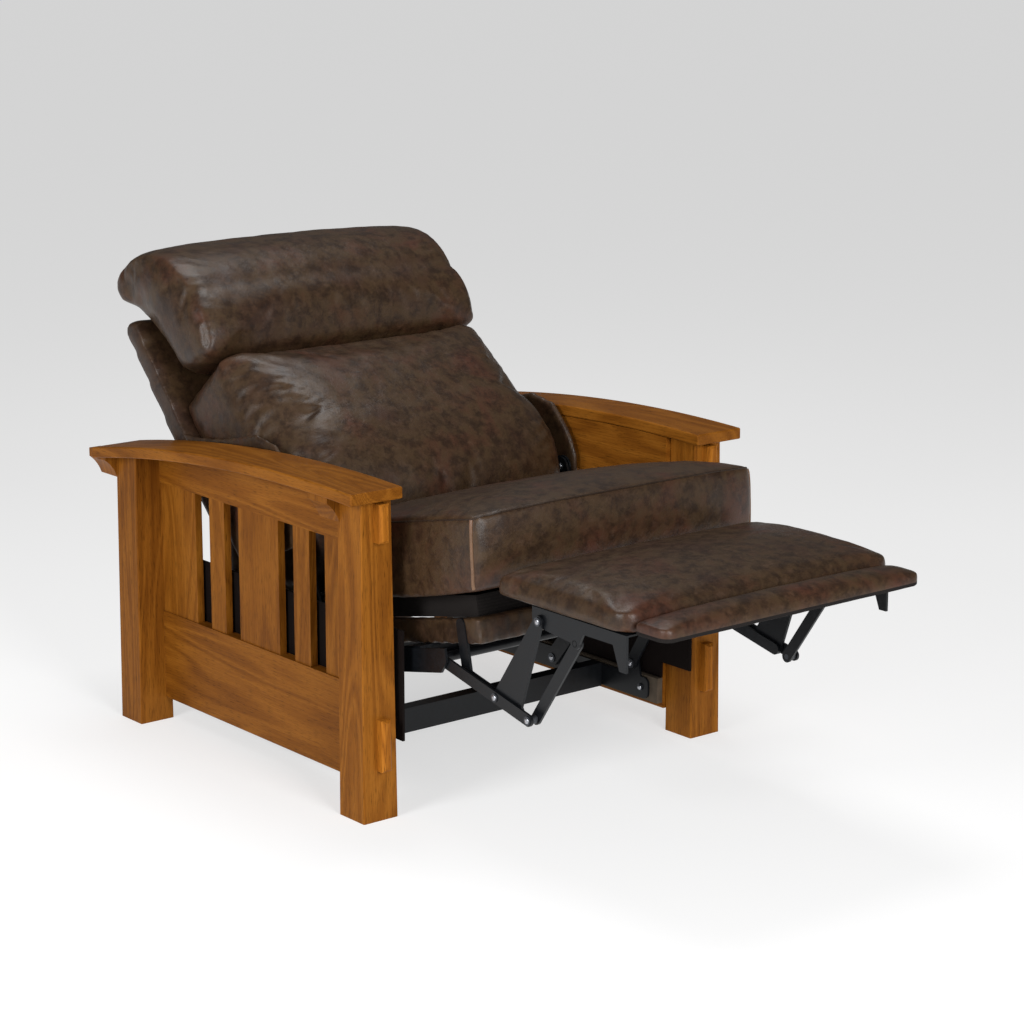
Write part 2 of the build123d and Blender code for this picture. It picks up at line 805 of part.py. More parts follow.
def pad_face(x, near, far, low, side_high, crown):
    # Outline of a pad at one place across it, from its near to its far edge
    middle = (near + far) / 2
    high = low + side_high
    near_low = pad_point(near + pad_swell, low)
    far_low = pad_point(far - pad_swell, low)
    near_high = pad_point(near + 2 * pad_swell, high)
    far_high = pad_point(far - 2 * pad_swell, high)
    with BuildSketch(side_plane(x)) as outline:
        with BuildLine():
            Line(far_low, near_low)
            ThreePointArc(near_low, pad_point(near, (low + high) / 2), near_high)
            ThreePointArc(near_high, pad_point(middle, high + crown), far_high)
            ThreePointArc(far_high, pad_point(far, (low + high) / 2), far_low)
        make_face()
    return outline.sketch


def soft_pad(half, near, far, low, side_high, crown, corner):
    # A crowned pad over its board, its far corners rounded like the board's
    with BuildPart() as pad:
        loft(sections=[pad_face(share * half, near, far, low, side_high * (1 - thin * pad_thin_share),
                                crown * (1 - thin))
                       for share, thin in zip(pad_shares, pad_end_shares)], ruled=True)
        extrude(board_sketch(pad_low_z + low, half, near, far, corner), amount=side_high + crown,
                mode=Mode.INTERSECT)
    return pad


pad_shares = (-1, -0.9, -0.6, 0, 0.6, 0.9, 1)
pad_end_shares = (0.9, 0.4, 0.12, 0, 0.12, 0.4, 0.9)
pad_thin_share = 0.2
foot_pad = soft_pad(pad_half, 0, pad_long, board_thick, pad_side_rise - board_thick, pad_crown, board_corner)
save(foot_pad, "footrest_pad")

hinge_spot = pad_point(pad_long, -hinge_drop)
flipper_near = pad_long + flipper_gap
flipper_far = pad_long + flipper_long
with BuildPart() as fixed_leaves:
    for x in (-hinge_x, hinge_x):
        with BuildSketch(side_plane(x - leaf_wide / 2)):
            with Locations(pad_point(pad_long - leaf_long / 2, -leaf_sheet / 2)):
                Rectangle(leaf_long, leaf_sheet)
        extrude(amount=leaf_wide)
        for x0 in (x - leaf_wide / 2, x + leaf_wide / 6):
            extrude(pin_sketch(side_plane(x0), [hinge_spot], knuckle_radius), amount=leaf_wide / 3)
        cleared = pin_sketch(side_plane(x - leaf_wide / 6), [hinge_spot], knuckle_radius + link_gap)
        extrude(cleared, amount=leaf_wide / 3, mode=Mode.SUBTRACT)
        extrude(pin_sketch(side_plane(x - leaf_wide / 2), [hinge_spot], hinge_pin_radius), amount=leaf_wide)
save(fixed_leaves, "flipper_hinge_fixed_leaves")

with BuildPart() as flipper_leaves:
    barrel = leaf_wide / 3 - 2 * link_gap
    leaf_low = flipper_lift - leaf_sheet
    for x in (-hinge_x, hinge_x):
        with BuildSketch(side_plane(x - barrel / 2)):
            with BuildLine():
                Polyline(pad_point(pad_long, -hinge_drop), pad_point(pad_long + knuckle_radius, leaf_low),
                         pad_point(pad_long + leaf_long, leaf_low),
                         pad_point(pad_long + leaf_long, flipper_lift),
                         pad_point(flipper_near + knuckle_radius, flipper_lift), close=True)
            make_face()
            with Locations(hinge_spot):
                Circle(knuckle_radius)
                Circle(hinge_pin_radius + running_fit, mode=Mode.SUBTRACT)
        extrude(amount=barrel)
        with BuildSketch(side_plane(x - leaf_wide / 2)):
            with Locations(pad_point(pad_long + (leaf_long + 2 * knuckle_radius) / 2 + knuckle_radius,
                                     flipper_lift - leaf_sheet / 2)):
                Rectangle(leaf_long - 3 * knuckle_radius, leaf_sheet)
        extrude(amount=leaf_wide)
save(flipper_leaves, "flipper_hinge_moving_leaves")

with BuildPart() as flipper_panel:
    extrude(board_sketch(pad_low_z + flipper_lift, flipper_half - flipper_inset, flipper_near + flipper_inset,
                         flipper_far - flipper_inset, board_corner / 2), amount=flipper_board)
save(flipper_panel, "flipper_board")

flipper_foot = flipper_lift + flipper_board
flipper_foam = flipper_rise - flipper_board - flipper_crown
flipper_pad = soft_pad(flipper_half, flipper_near, flipper_far, flipper_foot, flipper_foam, flipper_crown,
                       board_corner / 2)
save(flipper_pad, "flipper_pad")

# Back board, cheeks and hinge plates
board_rear = board_front + back_board_thick
with BuildPart() as back_board:
    with BuildSketch(back_plane(-back_half)):
        with Locations(((back_board_top - back_board_low) / 2, -(board_front + board_rear) / 2)):
            RectangleRounded(back_board_top + back_board_low, back_board_thick, back_board_round)
    extrude(amount=2 * back_half)
save(back_board, "back_board")

cheek_x = swing_x + plate_thick
cheek_front_shares = ((-0.16, -0.11), (-0.06, 0.11), (0, 0.19), (0.14, 0.245), (0.33, 0.22), (0.47, 0.02))
with BuildPart() as cheek:
    front = [(up * back_cushion_top, forward * board_front) for up, forward in cheek_front_shares]
    rear_v = -board_front + seat_gap
    with BuildSketch(back_plane(cheek_x)):
        with BuildLine():
            ThreePointArc(front[0], front[1], front[2])
            ThreePointArc(front[2], front[3], front[4])
            Line(front[4], front[5])
            ThreePointArc(front[5], (front[5][0] + hinge_plate_rise, rear_v / 2),
                          (back_cushion_top - hinge_plate_rise, rear_v))
            Polyline((back_cushion_top - hinge_plate_rise, rear_v), (0, rear_v), front[0])
        make_face()
    extrude(amount=cheek_thick)
save_pair(cheek, "back_cheek")

hinge_plate = flat_link(back_plane, swing_x, [(0, 0), (hinge_plate_rise, -hinge_plate_reach)], hinge_eye,
                        [((0, 0), swing_pin + running_fit)])
save_both(hinge_plate, "back_hinge_plates")


# Back cushion and headrest bolster
# Points of the cushion's front at its sides, up and forward, as shares of its height and of the
# board's distance
back_top_share = -0.12
back_upper_share = (0.756, 0.037)
back_middle_share = (0.464, 0.165)
back_lower_share = (0.239, 0.248)
back_nose_share = (0.053, 0.165)
back_lip_share = (-0.053, 0.009)
back_heel_share = (-0.25, -0.27)
back_under_share = (-0.27, -0.55)


def back_cushion_face(x, full):
    rear_v = -board_front + seat_gap

    def place(share, forward, drop):
        return (share[0] * back_cushion_top - full * drop, share[1] * board_front + full * forward)

    top_front = place((1, back_top_share), back_cushion_spread, 0)
    upper = place(back_upper_share, back_cushion_upper_spread, 0)
    middle = place(back_middle_share, back_cushion_middle_spread, 0)
    lower = place(back_lower_share, back_cushion_lower_spread, 0)
    nose = place(back_nose_share, back_cushion_nose_spread, 0)
    lip = place(back_lip_share, back_cushion_lip_spread, back_cushion_heel_drop)
    heel = place(back_heel_share, back_cushion_heel_spread, back_cushion_heel_drop)
    under = place(back_under_share, 0, back_cushion_heel_drop / 2)
    with BuildSketch(back_plane(x)) as outline:
        with BuildLine():
            ThreePointArc(top_front, upper, middle)
            ThreePointArc(middle, lower, nose)
            ThreePointArc(nose, lip, heel)
            ThreePointArc(heel, under, (-back_cushion_foot, rear_v))
            Line((-back_cushion_foot, rear_v), (back_cushion_top, rear_v))
            Line((back_cushion_top, rear_v), top_front)
        make_face()
    return outline.sketch


with BuildPart() as back_cushion:
    loft(sections=[back_cushion_face(share * back_cushion_half, full)
                   for share, full in zip(side_shares, full_shares)], ruled=True)
save(back_cushion, "back_cushion")

# Corners of the bolster at its ends, up the board and forward, as shares of the board's height
bolster_chin_share = (0.645, -0.075)
bolster_brow_share = (0.736, -0.033)
bolster_face_share = (0.868, -0.048)
bolster_dome_share = (1.07, -0.125)
bolster_crown_share = (1.166, -0.343)
bolster_curl_share = (1.154, -0.41)
bolster_tail_share = (1.095, -0.418)
bolster_throat_share = (0.911, -0.304)
bolster_neck_share = (0.736, -0.226)
bolster_jaw_share = (0.669, -0.159)


def bolster_face(x, full):
    def place(share, up, forward):
        return (share[0] * back_board_top + full * up, share[1] * back_board_top + full * forward)

    rear_v = -board_front + seat_gap
    chin = place(bolster_chin_share, 0, 0)
    face_top = place(bolster_face_share, 0, bolster_spread)
    crown = place(bolster_crown_share, bolster_spread, 0)
    tail = place(bolster_tail_share, 0, 0)
    step = (back_board_top + back_board_round, rear_v)
    neck = place(bolster_neck_share, -bolster_jaw_drop, rear_v - bolster_neck_share[1] * back_board_top)
    throat = place(bolster_throat_share, 0, rear_v - bolster_throat_share[1] * back_board_top)
    with BuildSketch(back_plane(x)) as outline:
        with BuildLine():
            ThreePointArc(chin, place(bolster_brow_share, 0, bolster_spread), face_top)
            ThreePointArc(face_top, place(bolster_dome_share, bolster_spread, bolster_spread), crown)
            ThreePointArc(crown, place(bolster_curl_share, bolster_spread, 0), tail)
            Line(tail, step)
            if full < 1:
                ThreePointArc(step, throat, neck)
            else:
                Line(step, neck)
            ThreePointArc(neck, place(bolster_jaw_share, 0, -bolster_jaw_drop), chin)
        make_face()
    return outline.sketch


with BuildPart() as bolster:
    loft(sections=[bolster_face(share * bolster_half, full)
                   for share, full in zip(side_shares, full_shares)], ruled=True)
save(bolster, "headrest_bolster")
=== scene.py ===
# Wall hugger recliner: oak side frames, leather upholstery and its steel linkage, on a pale floor.
from math import cos, hypot, radians, sin

import bmesh
import bpy
import numpy as np
from mathutils import Euler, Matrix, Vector, noise
from mathutils.bvhtree import BVHTree


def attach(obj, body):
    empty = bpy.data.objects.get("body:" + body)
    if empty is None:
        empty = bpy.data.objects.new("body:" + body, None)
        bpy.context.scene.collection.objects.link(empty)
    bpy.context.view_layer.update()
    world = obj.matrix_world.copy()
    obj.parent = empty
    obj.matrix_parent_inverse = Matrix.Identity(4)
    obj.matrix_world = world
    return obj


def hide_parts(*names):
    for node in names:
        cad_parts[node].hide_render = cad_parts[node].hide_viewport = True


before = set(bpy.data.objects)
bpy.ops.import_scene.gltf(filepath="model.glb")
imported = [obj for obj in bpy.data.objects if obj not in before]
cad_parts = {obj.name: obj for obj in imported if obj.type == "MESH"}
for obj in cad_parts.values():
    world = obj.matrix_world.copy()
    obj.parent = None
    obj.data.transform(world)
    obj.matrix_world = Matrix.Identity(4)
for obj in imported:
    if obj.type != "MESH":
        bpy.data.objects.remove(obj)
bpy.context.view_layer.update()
print("stage: frame loaded")

# Where the seat, the back and the footrest lie, in metres
seatFrame = {"frontY": -0.340, "frontZ": 0.353, "pitch": radians(12)}
backFrame = {"u": 0.4879, "v": 0.254, "rise": radians(49)}
padFrame = {"lowZ": 0.460}


def seatPoint(x, s, t):
    a = seatFrame["pitch"]
    y = seatFrame["frontY"] + s * cos(a) + t * sin(a)
    z = seatFrame["frontZ"] - s * sin(a) + t * cos(a)
    return Vector((x, y, z))


def backPoint(x, u, v):
    a = backFrame["rise"]
    hinge = seatPoint(0, backFrame["u"], backFrame["v"])
    return Vector((x, hinge.y + u * cos(a) - v * sin(a), hinge.z + u * sin(a) + v * cos(a)))


# Node helpers for the materials
def startMaterial(name):
    material = bpy.data.materials.new(name)
    material.use_nodes = True
    tree = material.node_tree
    tree.nodes.clear()
    out = tree.nodes.new("ShaderNodeOutputMaterial")
    shader = tree.nodes.new("ShaderNodeBsdfPrincipled")
    tree.links.new(shader.outputs["BSDF"], out.inputs["Surface"])
    return material, tree, shader


def addNode(tree, kind, settings=None, **inputs):
    # Inputs go by name, or as in0, in1 and so on by their place
    node = tree.nodes.new(kind)
    for key, value in (settings or {}).items():
        setattr(node, key, value)
    for key, value in inputs.items():
        numbered = key.startswith("in") and key[2:].isdigit()
        socket = node.inputs[int(key[2:]) if numbered else key]
        if isinstance(value, bpy.types.NodeSocket):
            tree.links.new(value, socket)
        else:
            socket.default_value = value
    return node


def ramp(tree, fac, stops):
    node = addNode(tree, "ShaderNodeValToRGB", in0=fac)
    elements = node.color_ramp.elements
    stops = list(stops)
    while len(elements) < len(stops):
        elements.new(0.5)
    for element, (place, colour) in zip(elements, stops):
        element.position = place
        element.color = (*colour, 1)
    return node.outputs["Color"]


def grey(value):
    return (value, value, value)


def rising(tree, fac, low, high):
    return ramp(tree, fac, [(low, grey(0)), (high, grey(1))])


def falling(tree, fac, low, high):
    return ramp(tree, fac, [(low, grey(1)), (high, grey(0))])


def mixColours(tree, kind, fac, first, second):
    node = addNode(tree, "ShaderNodeMix", {"data_type": "RGBA", "blend_type": kind}, in0=fac)
    for index, value in ((6, first), (7, second)):
        if isinstance(value, bpy.types.NodeSocket):
            tree.links.new(value, node.inputs[index])
        else:
            node.inputs[index].default_value = (*value, 1)
    return node.outputs[2]


def mathNode(tree, kind, first, second=0.0):
    return addNode(tree, "ShaderNodeMath", {"operation": kind}, in0=first, in1=second).outputs[0]


def timesPlus(tree, value, times, plus):
    result = mathNode(tree, "MULTIPLY_ADD", value, times)
    result.node.inputs[2].default_value = plus
    return result


def placed(tree, shift=(0, 0, 0), turn=(0, 0, 0)):
    coords = addNode(tree, "ShaderNodeTexCoord")
    return addNode(tree, "ShaderNodeMapping", Vector=coords.outputs["Object"], Location=shift,
                   Rotation=turn).outputs[0]


def stretched(tree, vector, share):
    # A pattern drawn out along the board's length
    return addNode(tree, "ShaderNodeMapping", Vector=vector, Scale=(1, 1, share)).outputs[0]


def noiseOf(tree, vector, scale, detail, roughness, distortion=0.0):
    return addNode(tree, "ShaderNodeTexNoise", Vector=vector, Scale=scale, Detail=detail,
                   Roughness=roughness, Distortion=distortion).outputs[0]


def bump(tree, height, strength, distance, under=None):
    node = addNode(tree, "ShaderNodeBump", Strength=strength, Distance=distance, Height=height)
    if under is not None:
        tree.links.new(under, node.inputs["Normal"])
    return node.outputs[0]


# Oak, with its grain along one axis. A pattern's numbers are its scale, detail and roughness
oak = {
    "dark": (0.100, 0.030, 0.0035),
    "middle": (0.195, 0.065, 0.0065),
    "light": (0.300, 0.112, 0.0135),
    "stops": (0.22, 0.5, 0.82),
    "rough": 0.36,
    "roughSwing": 0.18,
    "gloss": 0.06,
    "wander": (3.2, 2, 0.5),
    "rings": (7.0, 2, 0.45),
    "fibres": (420.0, 4, 0.6),
    "pores": (900.0, 1, 0.5),
    "clouds": (4.0, 2, 0.5),
    "stretch": {"rings": 0.11, "fibres": 0.02, "pores": 0.05},
    "ringCount": 74.0,
    "poreEdge": (0.3, 0.42),
    "poreDepth": 0.5,
    "shares": {"lines": 0.2, "fibres": 0.5, "clouds": 0.35, "lineRelief": 0.3},
    "bump": (0.25, 0.0006),
}
grainTurns = {"Z": (0, 0, 0), "Y": (radians(90), 0, 0), "X": (0, radians(90), 0)}


def oakFinish(name, grain, shift, tone=1.0):
    material, tree, shader = startMaterial(name)
    along = placed(tree, shift, grainTurns[grain])
    shares = oak["shares"]
    stretch = oak["stretch"]
    squeezed = stretched(tree, along, stretch["rings"])
    wander = noiseOf(tree, squeezed, *oak["wander"])
    spread = addNode(tree, "ShaderNodeCombineXYZ", in0=wander, in1=wander, in2=0.0)
    bent = addNode(tree, "ShaderNodeVectorMath", {"operation": "ADD"}, in0=squeezed, in1=spread.outputs[0])
    rings = noiseOf(tree, bent.outputs[0], *oak["rings"])
    bands = mathNode(tree, "SINE", mathNode(tree, "MULTIPLY", rings, oak["ringCount"]))
    lines = timesPlus(tree, bands, 0.5, 0.5)
    fibres = noiseOf(tree, stretched(tree, along, stretch["fibres"]), *oak["fibres"])
    pores = noiseOf(tree, stretched(tree, along, stretch["pores"]), *oak["pores"])
    clouds = noiseOf(tree, along, *oak["clouds"])
    mixed = mathNode(tree, "ADD", mathNode(tree, "MULTIPLY", lines, shares["lines"]),
                     mathNode(tree, "MULTIPLY", fibres, shares["fibres"]))
    mixed = mathNode(tree, "ADD", mixed, mathNode(tree, "MULTIPLY", clouds, shares["clouds"]))
    toned = [tuple(tone * part for part in oak[key]) for key in ("dark", "middle", "light")]
    colour = ramp(tree, mixed, zip(oak["stops"], toned))
    colour = mixColours(tree, "MULTIPLY", oak["poreDepth"], colour, rising(tree, pores, *oak["poreEdge"]))
    tree.links.new(colour, shader.inputs["Base Color"])
    tree.links.new(timesPlus(tree, fibres, oak["roughSwing"], oak["rough"]), shader.inputs["Roughness"])
    shader.inputs["Specular IOR Level"].default_value = oak["gloss"]
    relief = mathNode(tree, "ADD", fibres, mathNode(tree, "MULTIPLY", lines, shares["lineRelief"]))
    tree.links.new(bump(tree, relief, *oak["bump"]), shader.inputs["Normal"])
    return material


# Distressed leather. The first three patterns' numbers are scale, detail, roughness and distortion
leather = {
    "deep": (0.012, 0.0055, 0.0032),
    "brown": (0.040, 0.0185, 0.0100),
    "red": (0.060, 0.0215, 0.0115),
    "olive": (0.050, 0.0280, 0.0125),
    # Pale worn shade for mottle and veins, also laid on convex edges as wear and a painted highlight
    "wornAndHighlight": (0.088, 0.050, 0.031),
    "rough": 0.29,
    "roughSwing": 0.22,
    "gloss": 0.31,
    "clouds": (7.0, 4, 0.6, 0.3),
    "patches": (38.0, 5, 0.7, 0.3),
    "mottle": (80.0, 4, 0.6, 0.3),
    "cloudStops": (0.32, 0.5, 0.68),
    "patchEdge": (0.38, 0.56),
    "mottleEdge": (0.55, 0.75),
    "veinEdge": (0.0, 0.07),
    "edgeWearAndHighlight": (0.51, 0.57),
    "creases": 75.0,
    "creaseWander": 24.0,
    "creaseBend": 0.05,
    "pebble": 620.0,
    "shares": {"deep": 0.68, "mottle": 0.4, "veins": 0.06, "edges": 0.5, "veinRelief": 0.12},
    "pebbleBump": (0.22, 0.0006),
    "creaseBump": (0.32, 0.0016),
}


def leatherFinish(name, shift, tone=1.0):
    material, tree, shader = startMaterial(name)
    coords = placed(tree, shift)
    shares = leather["shares"]
    shades = {key: tuple(tone * part for part in leather[key])
              for key in ("deep", "brown", "red", "olive", "wornAndHighlight")}
    clouds = noiseOf(tree, coords, *leather["clouds"])
    patches = noiseOf(tree, coords, *leather["patches"])
    mottle = noiseOf(tree, coords, *leather["mottle"])
    # Fine veins run along the borders of bent cells
    drift = addNode(tree, "ShaderNodeTexNoise", Vector=coords, Scale=leather["creaseWander"], Detail=3.0)
    shifted = addNode(tree, "ShaderNodeVectorMath", {"operation": "SCALE"}, in0=drift.outputs[1],
                      Scale=leather["creaseBend"])
    bent = addNode(tree, "ShaderNodeVectorMath", {"operation": "ADD"}, in0=coords, in1=shifted.outputs[0])
    creases = addNode(tree, "ShaderNodeTexVoronoi", {"feature": "DISTANCE_TO_EDGE"}, Vector=bent.outputs[0],
                      Scale=leather["creases"])
    veins = falling(tree, creases.outputs["Distance"], *leather["veinEdge"])
    dark = falling(tree, patches, *leather["patchEdge"])
    light = rising(tree, mottle, *leather["mottleEdge"])
    # Pointiness lightens the rolled edges toward the pale shade: wear, and a painted highlight along them
    edges = rising(tree, addNode(tree, "ShaderNodeNewGeometry").outputs["Pointiness"], *leather["edgeWearAndHighlight"])
    base = ramp(tree, clouds, zip(leather["cloudStops"], (shades["brown"], shades["olive"], shades["red"])))
    for mask, share, shade in ((dark, "deep", "deep"), (light, "mottle", "wornAndHighlight"), (veins, "veins", "wornAndHighlight"),
                               (edges, "edges", "wornAndHighlight")):
        base = mixColours(tree, "MIX", mathNode(tree, "MULTIPLY", mask, shares[share]), base, shades[shade])
    tree.links.new(base, shader.inputs["Base Color"])
    tree.links.new(timesPlus(tree, patches, leather["roughSwing"], leather["rough"]),
                   shader.inputs["Roughness"])
    pebble = addNode(tree, "ShaderNodeTexVoronoi", {"feature": "DISTANCE_TO_EDGE"}, Vector=coords,
                     Scale=leather["pebble"])
    pebbled = bump(tree, pebble.outputs["Distance"], *leather["pebbleBump"])
    cracks = mathNode(tree, "MULTIPLY", veins, shares["veinRelief"])
    creased = bump(tree, mathNode(tree, "SUBTRACT", mottle, cracks), *leather["creaseBump"], pebbled)
    tree.links.new(creased, shader.inputs["Normal"])
    shader.inputs["Specular IOR Level"].default_value = leather["gloss"]
    return material


# Speckled finishes: black paint, studs, bare steel, and the stained cleats
speckled = {
    "blackSteel": {"colour": (0.0042, 0.005, 0.0064), "rough": 0.28, "metallic": 0.0, "spots": 90.0,
                   "gloss": 0.28},
    "studSteel": {"colour": (0.075, 0.08, 0.09), "rough": 0.35, "metallic": 0.9, "spots": 140.0,
                  "gloss": 0.5},
    "bareSteel": {"colour": (0.42, 0.43, 0.46), "rough": 0.24, "metallic": 1.0, "spots": 140.0,
                  "gloss": 0.5},
    "cleatWood": {"colour": (0.085, 0.066, 0.048), "rough": 0.6, "metallic": 0.0, "spots": 40.0,
                  "gloss": 0.1},
}
speckles = {"darker": (0.3, 0.75), "lighter": (0.7, 1.25), "detail": (3, 0.6), "roughSwing": 0.2,
            "pits": (800.0, 2, 0.5), "bump": (0.12, 0.0003)}


def speckledFinish(name):
    material, tree, shader = startMaterial(name)
    look = speckled[name]
    coords = placed(tree)
    spots = noiseOf(tree, coords, look["spots"], *speckles["detail"])
    stops = [(place, tuple(times * part for part in look["colour"]))
             for place, times in (speckles["darker"], speckles["lighter"])]
    tree.links.new(ramp(tree, spots, stops), shader.inputs["Base Color"])
    rough = timesPlus(tree, spots, speckles["roughSwing"], look["rough"])
    tree.links.new(rough, shader.inputs["Roughness"])
    shader.inputs["Metallic"].default_value = look["metallic"]
    shader.inputs["Specular IOR Level"].default_value = look["gloss"]
    pits = noiseOf(tree, coords, *speckles["pits"])
    tree.links.new(bump(tree, pits, *speckles["bump"]), shader.inputs["Normal"])
    return material


weave = {"threads": 260.0, "shade": 0.6, "rough": 0.9, "gloss": 0.1, "bump": (0.4, 0.0006)}


def clothFinish(name, colour):
    material, tree, shader = startMaterial(name)
    coords = placed(tree)
    weft, warp = [addNode(tree, "ShaderNodeTexWave", {"bands_direction": axis}, Vector=coords,
                          Scale=weave["threads"]).outputs["Fac"] for axis in ("X", "Y")]
    threads = mathNode(tree, "MULTIPLY", weft, warp)
    tint = ramp(tree, threads, [(0.0, tuple(weave["shade"] * part for part in colour)), (1.0, colour)])
    tree.links.new(tint, shader.inputs["Base Color"])
    shader.inputs["Roughness"].default_value = weave["rough"]
    shader.inputs["Specular IOR Level"].default_value = weave["gloss"]
    tree.links.new(bump(tree, threads, *weave["bump"]), shader.inputs["Normal"])
    return material


blackSteel, studSteel, bareSteel, cleatWood = [speckledFinish(name) for name in speckled]
plyWood = oakFinish("plyWood", "X", (1.3, 0.9, 0.2), 0.5)
darkCloth = clothFinish("darkCloth", (0.02, 0.017, 0.016))
# Near-black cloth for the side panels, painted shade inside the frame
panelShade = clothFinish("panelShade", (0.0085, 0.0050, 0.0042))
print("stage: materials made")


def paint(obj, material):
    obj.data.materials.clear()
    obj.data.materials.append(material)


def paintNodes(material, *names):
    for name in names:
        paint(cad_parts[name], material)


def pairOf(name):
    return f"{name}_left", f"{name}_right"


# Oak side frames: every board has its own stretch of grain
boards = {"front_post": ("Z", 1.06), "rear_post": ("Z", 0.98), "bottom_rail": ("Y", 0.98),
          "upper_rail": ("Y", 1.0), "slats": ("Z", 1.0)}
grainSteps = {"board": (0.37, 0.21, 0.83), "side": (0.6, 0.0, 0.0)}
for index, (board, (grain, tone)) in enumerate(boards.items()):
    for side, name in enumerate(pairOf(board)):
        shift = [step * index + more * side for step, more in zip(grainSteps["board"], grainSteps["side"])]
        paintNodes(oakFinish(f"oak_{name}", grain, shift, tone), name)
paintNodes(oakFinish("oak_corbels", "Z", (0.9, 0.1, 0.3), 0.95), "corbels")
# Tenon ends toned half again lighter: paler end grain, and a painted highlight on the proud tenons
paintNodes(oakFinish("oak_tenon_ends_highlit", "Z", (0.2, 1.7, 0.6), 1.5), "through_tenons")
paintNodes(cleatWood, "side_cleats")
paintNodes(plyWood, "footrest_board", "flipper_board")
paintNodes(darkCloth, "seat_deck")
paintNodes(studSteel, "frame_bolts", "base_pivot_studs", "seat_pivot_studs", "drive_link_studs",
           "pad_bracket_studs")
paintNodes(bareSteel, "sinuous_springs")
for steel in ("base_plate", "front_swing_link", "rear_swing_link", "seat_plate", "drive_link",
              "upper_footrest_link", "lower_footrest_link", "control_link", "pad_bracket"):
    paintNodes(blackSteel, *pairOf(steel))
paintNodes(blackSteel, "front_cross_member", "rear_cross_member", "control_brackets", "torsion_tube",
           "back_hinge_plates", "flipper_hinge_fixed_leaves", "flipper_hinge_moving_leaves")


# Mesh helpers
def makeObject(name, bm, material, smooth=True):
    bmesh.ops.recalc_face_normals(bm, faces=bm.faces)
    mesh = bpy.data.meshes.new(name)
    bm.to_mesh(mesh)
    bm.free()
    obj = bpy.data.objects.new(name, mesh)
    bpy.context.scene.collection.objects.link(obj)
    mesh.materials.append(material)
    if smooth:
        mesh.polygons.foreach_set("use_smooth", [True] * len(mesh.polygons))
    return obj


def applyModifiers(obj):
    bpy.context.view_layer.update()
    graph = bpy.context.evaluated_depsgraph_get()
    mesh = bpy.data.meshes.new_from_object(obj.evaluated_get(graph), depsgraph=graph)
    old = obj.data
    obj.modifiers.clear()
    obj.data = mesh
    mesh.name = obj.name
    bpy.data.meshes.remove(old)


# Geometry Nodes helpers
def startTree(name, inputs):
    tree = bpy.data.node_groups.new(name, "GeometryNodeTree")
    tree.interface.new_socket("Geometry", in_out="INPUT", socket_type="NodeSocketGeometry")
    for label, kind in inputs.items():
        tree.interface.new_socket(label, in_out="INPUT", socket_type=f"NodeSocket{kind}")
    tree.interface.new_socket("Geometry", in_out="OUTPUT", socket_type="NodeSocketGeometry")
    return tree, tree.nodes.new("NodeGroupInput").outputs, tree.nodes.new("NodeGroupOutput").inputs


def geoNode(tree, kind, settings=None, inputs=None):
    node = tree.nodes.new(kind)
    for key, value in (settings or {}).items():
        setattr(node, key, value)
    for key, value in (inputs or {}).items():
        if isinstance(value, bpy.types.NodeSocket):
            tree.links.new(value, node.inputs[key])
        else:
            node.inputs[key].default_value = value
    return node


def geoMath(tree, kind, *values):
    return geoNode(tree, "ShaderNodeMath", {"operation": kind}, dict(enumerate(values))).outputs[0]


def endTree(tree, made, sockets, result):
    # Every tree ends plain: instances made real, then the material
    real = geoNode(tree, "GeometryNodeRealizeInstances", None, {0: made})
    painted = geoNode(tree, "GeometryNodeSetMaterial", None,
                      {0: real.outputs[0], "Material": sockets["Material"]})
    tree.links.new(painted.outputs[0], result[0])


def runTree(piece, tree, values):
    grow = piece.modifiers.new("grow", "NODES")
    grow.node_group = tree
    for item in tree.interface.items_tree:
        if item.in_out == "INPUT" and item.name in values:
            grow[item.identifier] = values[item.name]
    applyModifiers(piece)


def emptyPiece(name, points=(), edges=()):
    mesh = bpy.data.meshes.new(name)
    mesh.from_pydata([tuple(point) for point in points], list(edges), [])
    piece = bpy.data.objects.new(name, mesh)
    bpy.context.scene.collection.objects.link(piece)
    return piece


# Arms: one board, bowed along its length as one large arc
arms = {"inner": 0.356, "width": 0.115, "thick": 0.0225, "frontY": -0.188, "frontZ": 0.622, "rearY": 0.705,
        "rearZ": 0.561, "bow": 0.025, "steps": 57, "ease": 0.0035, "easeSegments": 3,
        "easeAngle": radians(40), "tone": 1.02}


def bowedBoard():
    tree, sockets, result = startTree("bowedBoard", {
        "Size": "Vector", "Steps": "Int", "Centre": "Vector", "Bow Y": "Float", "Bow Z": "Float",
        "Bow Radius": "Float", "Material": "Material"})
    board = geoNode(tree, "GeometryNodeMeshCube", None,
                    {"Size": sockets["Size"], "Vertices Y": sockets["Steps"]})
    moved = geoNode(tree, "GeometryNodeSetPosition", None,
                    {0: board.outputs[0], "Offset": sockets["Centre"]})
    place = geoNode(tree, "GeometryNodeInputPosition")
    spot = geoNode(tree, "ShaderNodeSeparateXYZ", None, {0: place.outputs[0]})
    along = geoMath(tree, "SUBTRACT", spot.outputs["Y"], sockets["Bow Y"])
    fall = geoMath(tree, "SUBTRACT", geoMath(tree, "POWER", sockets["Bow Radius"], 2.0),
                   geoMath(tree, "MULTIPLY", along, along))
    rise = geoMath(tree, "ADD", geoMath(tree, "SQRT", fall), sockets["Bow Z"])
    lift = geoNode(tree, "ShaderNodeCombineXYZ", None, {"Z": rise})
    bent = geoNode(tree, "GeometryNodeSetPosition", None, {0: moved.outputs[0], "Offset": lift.outputs[0]})
    endTree(tree, bent.outputs[0], sockets, result)
    return tree


armTree = bowedBoard()


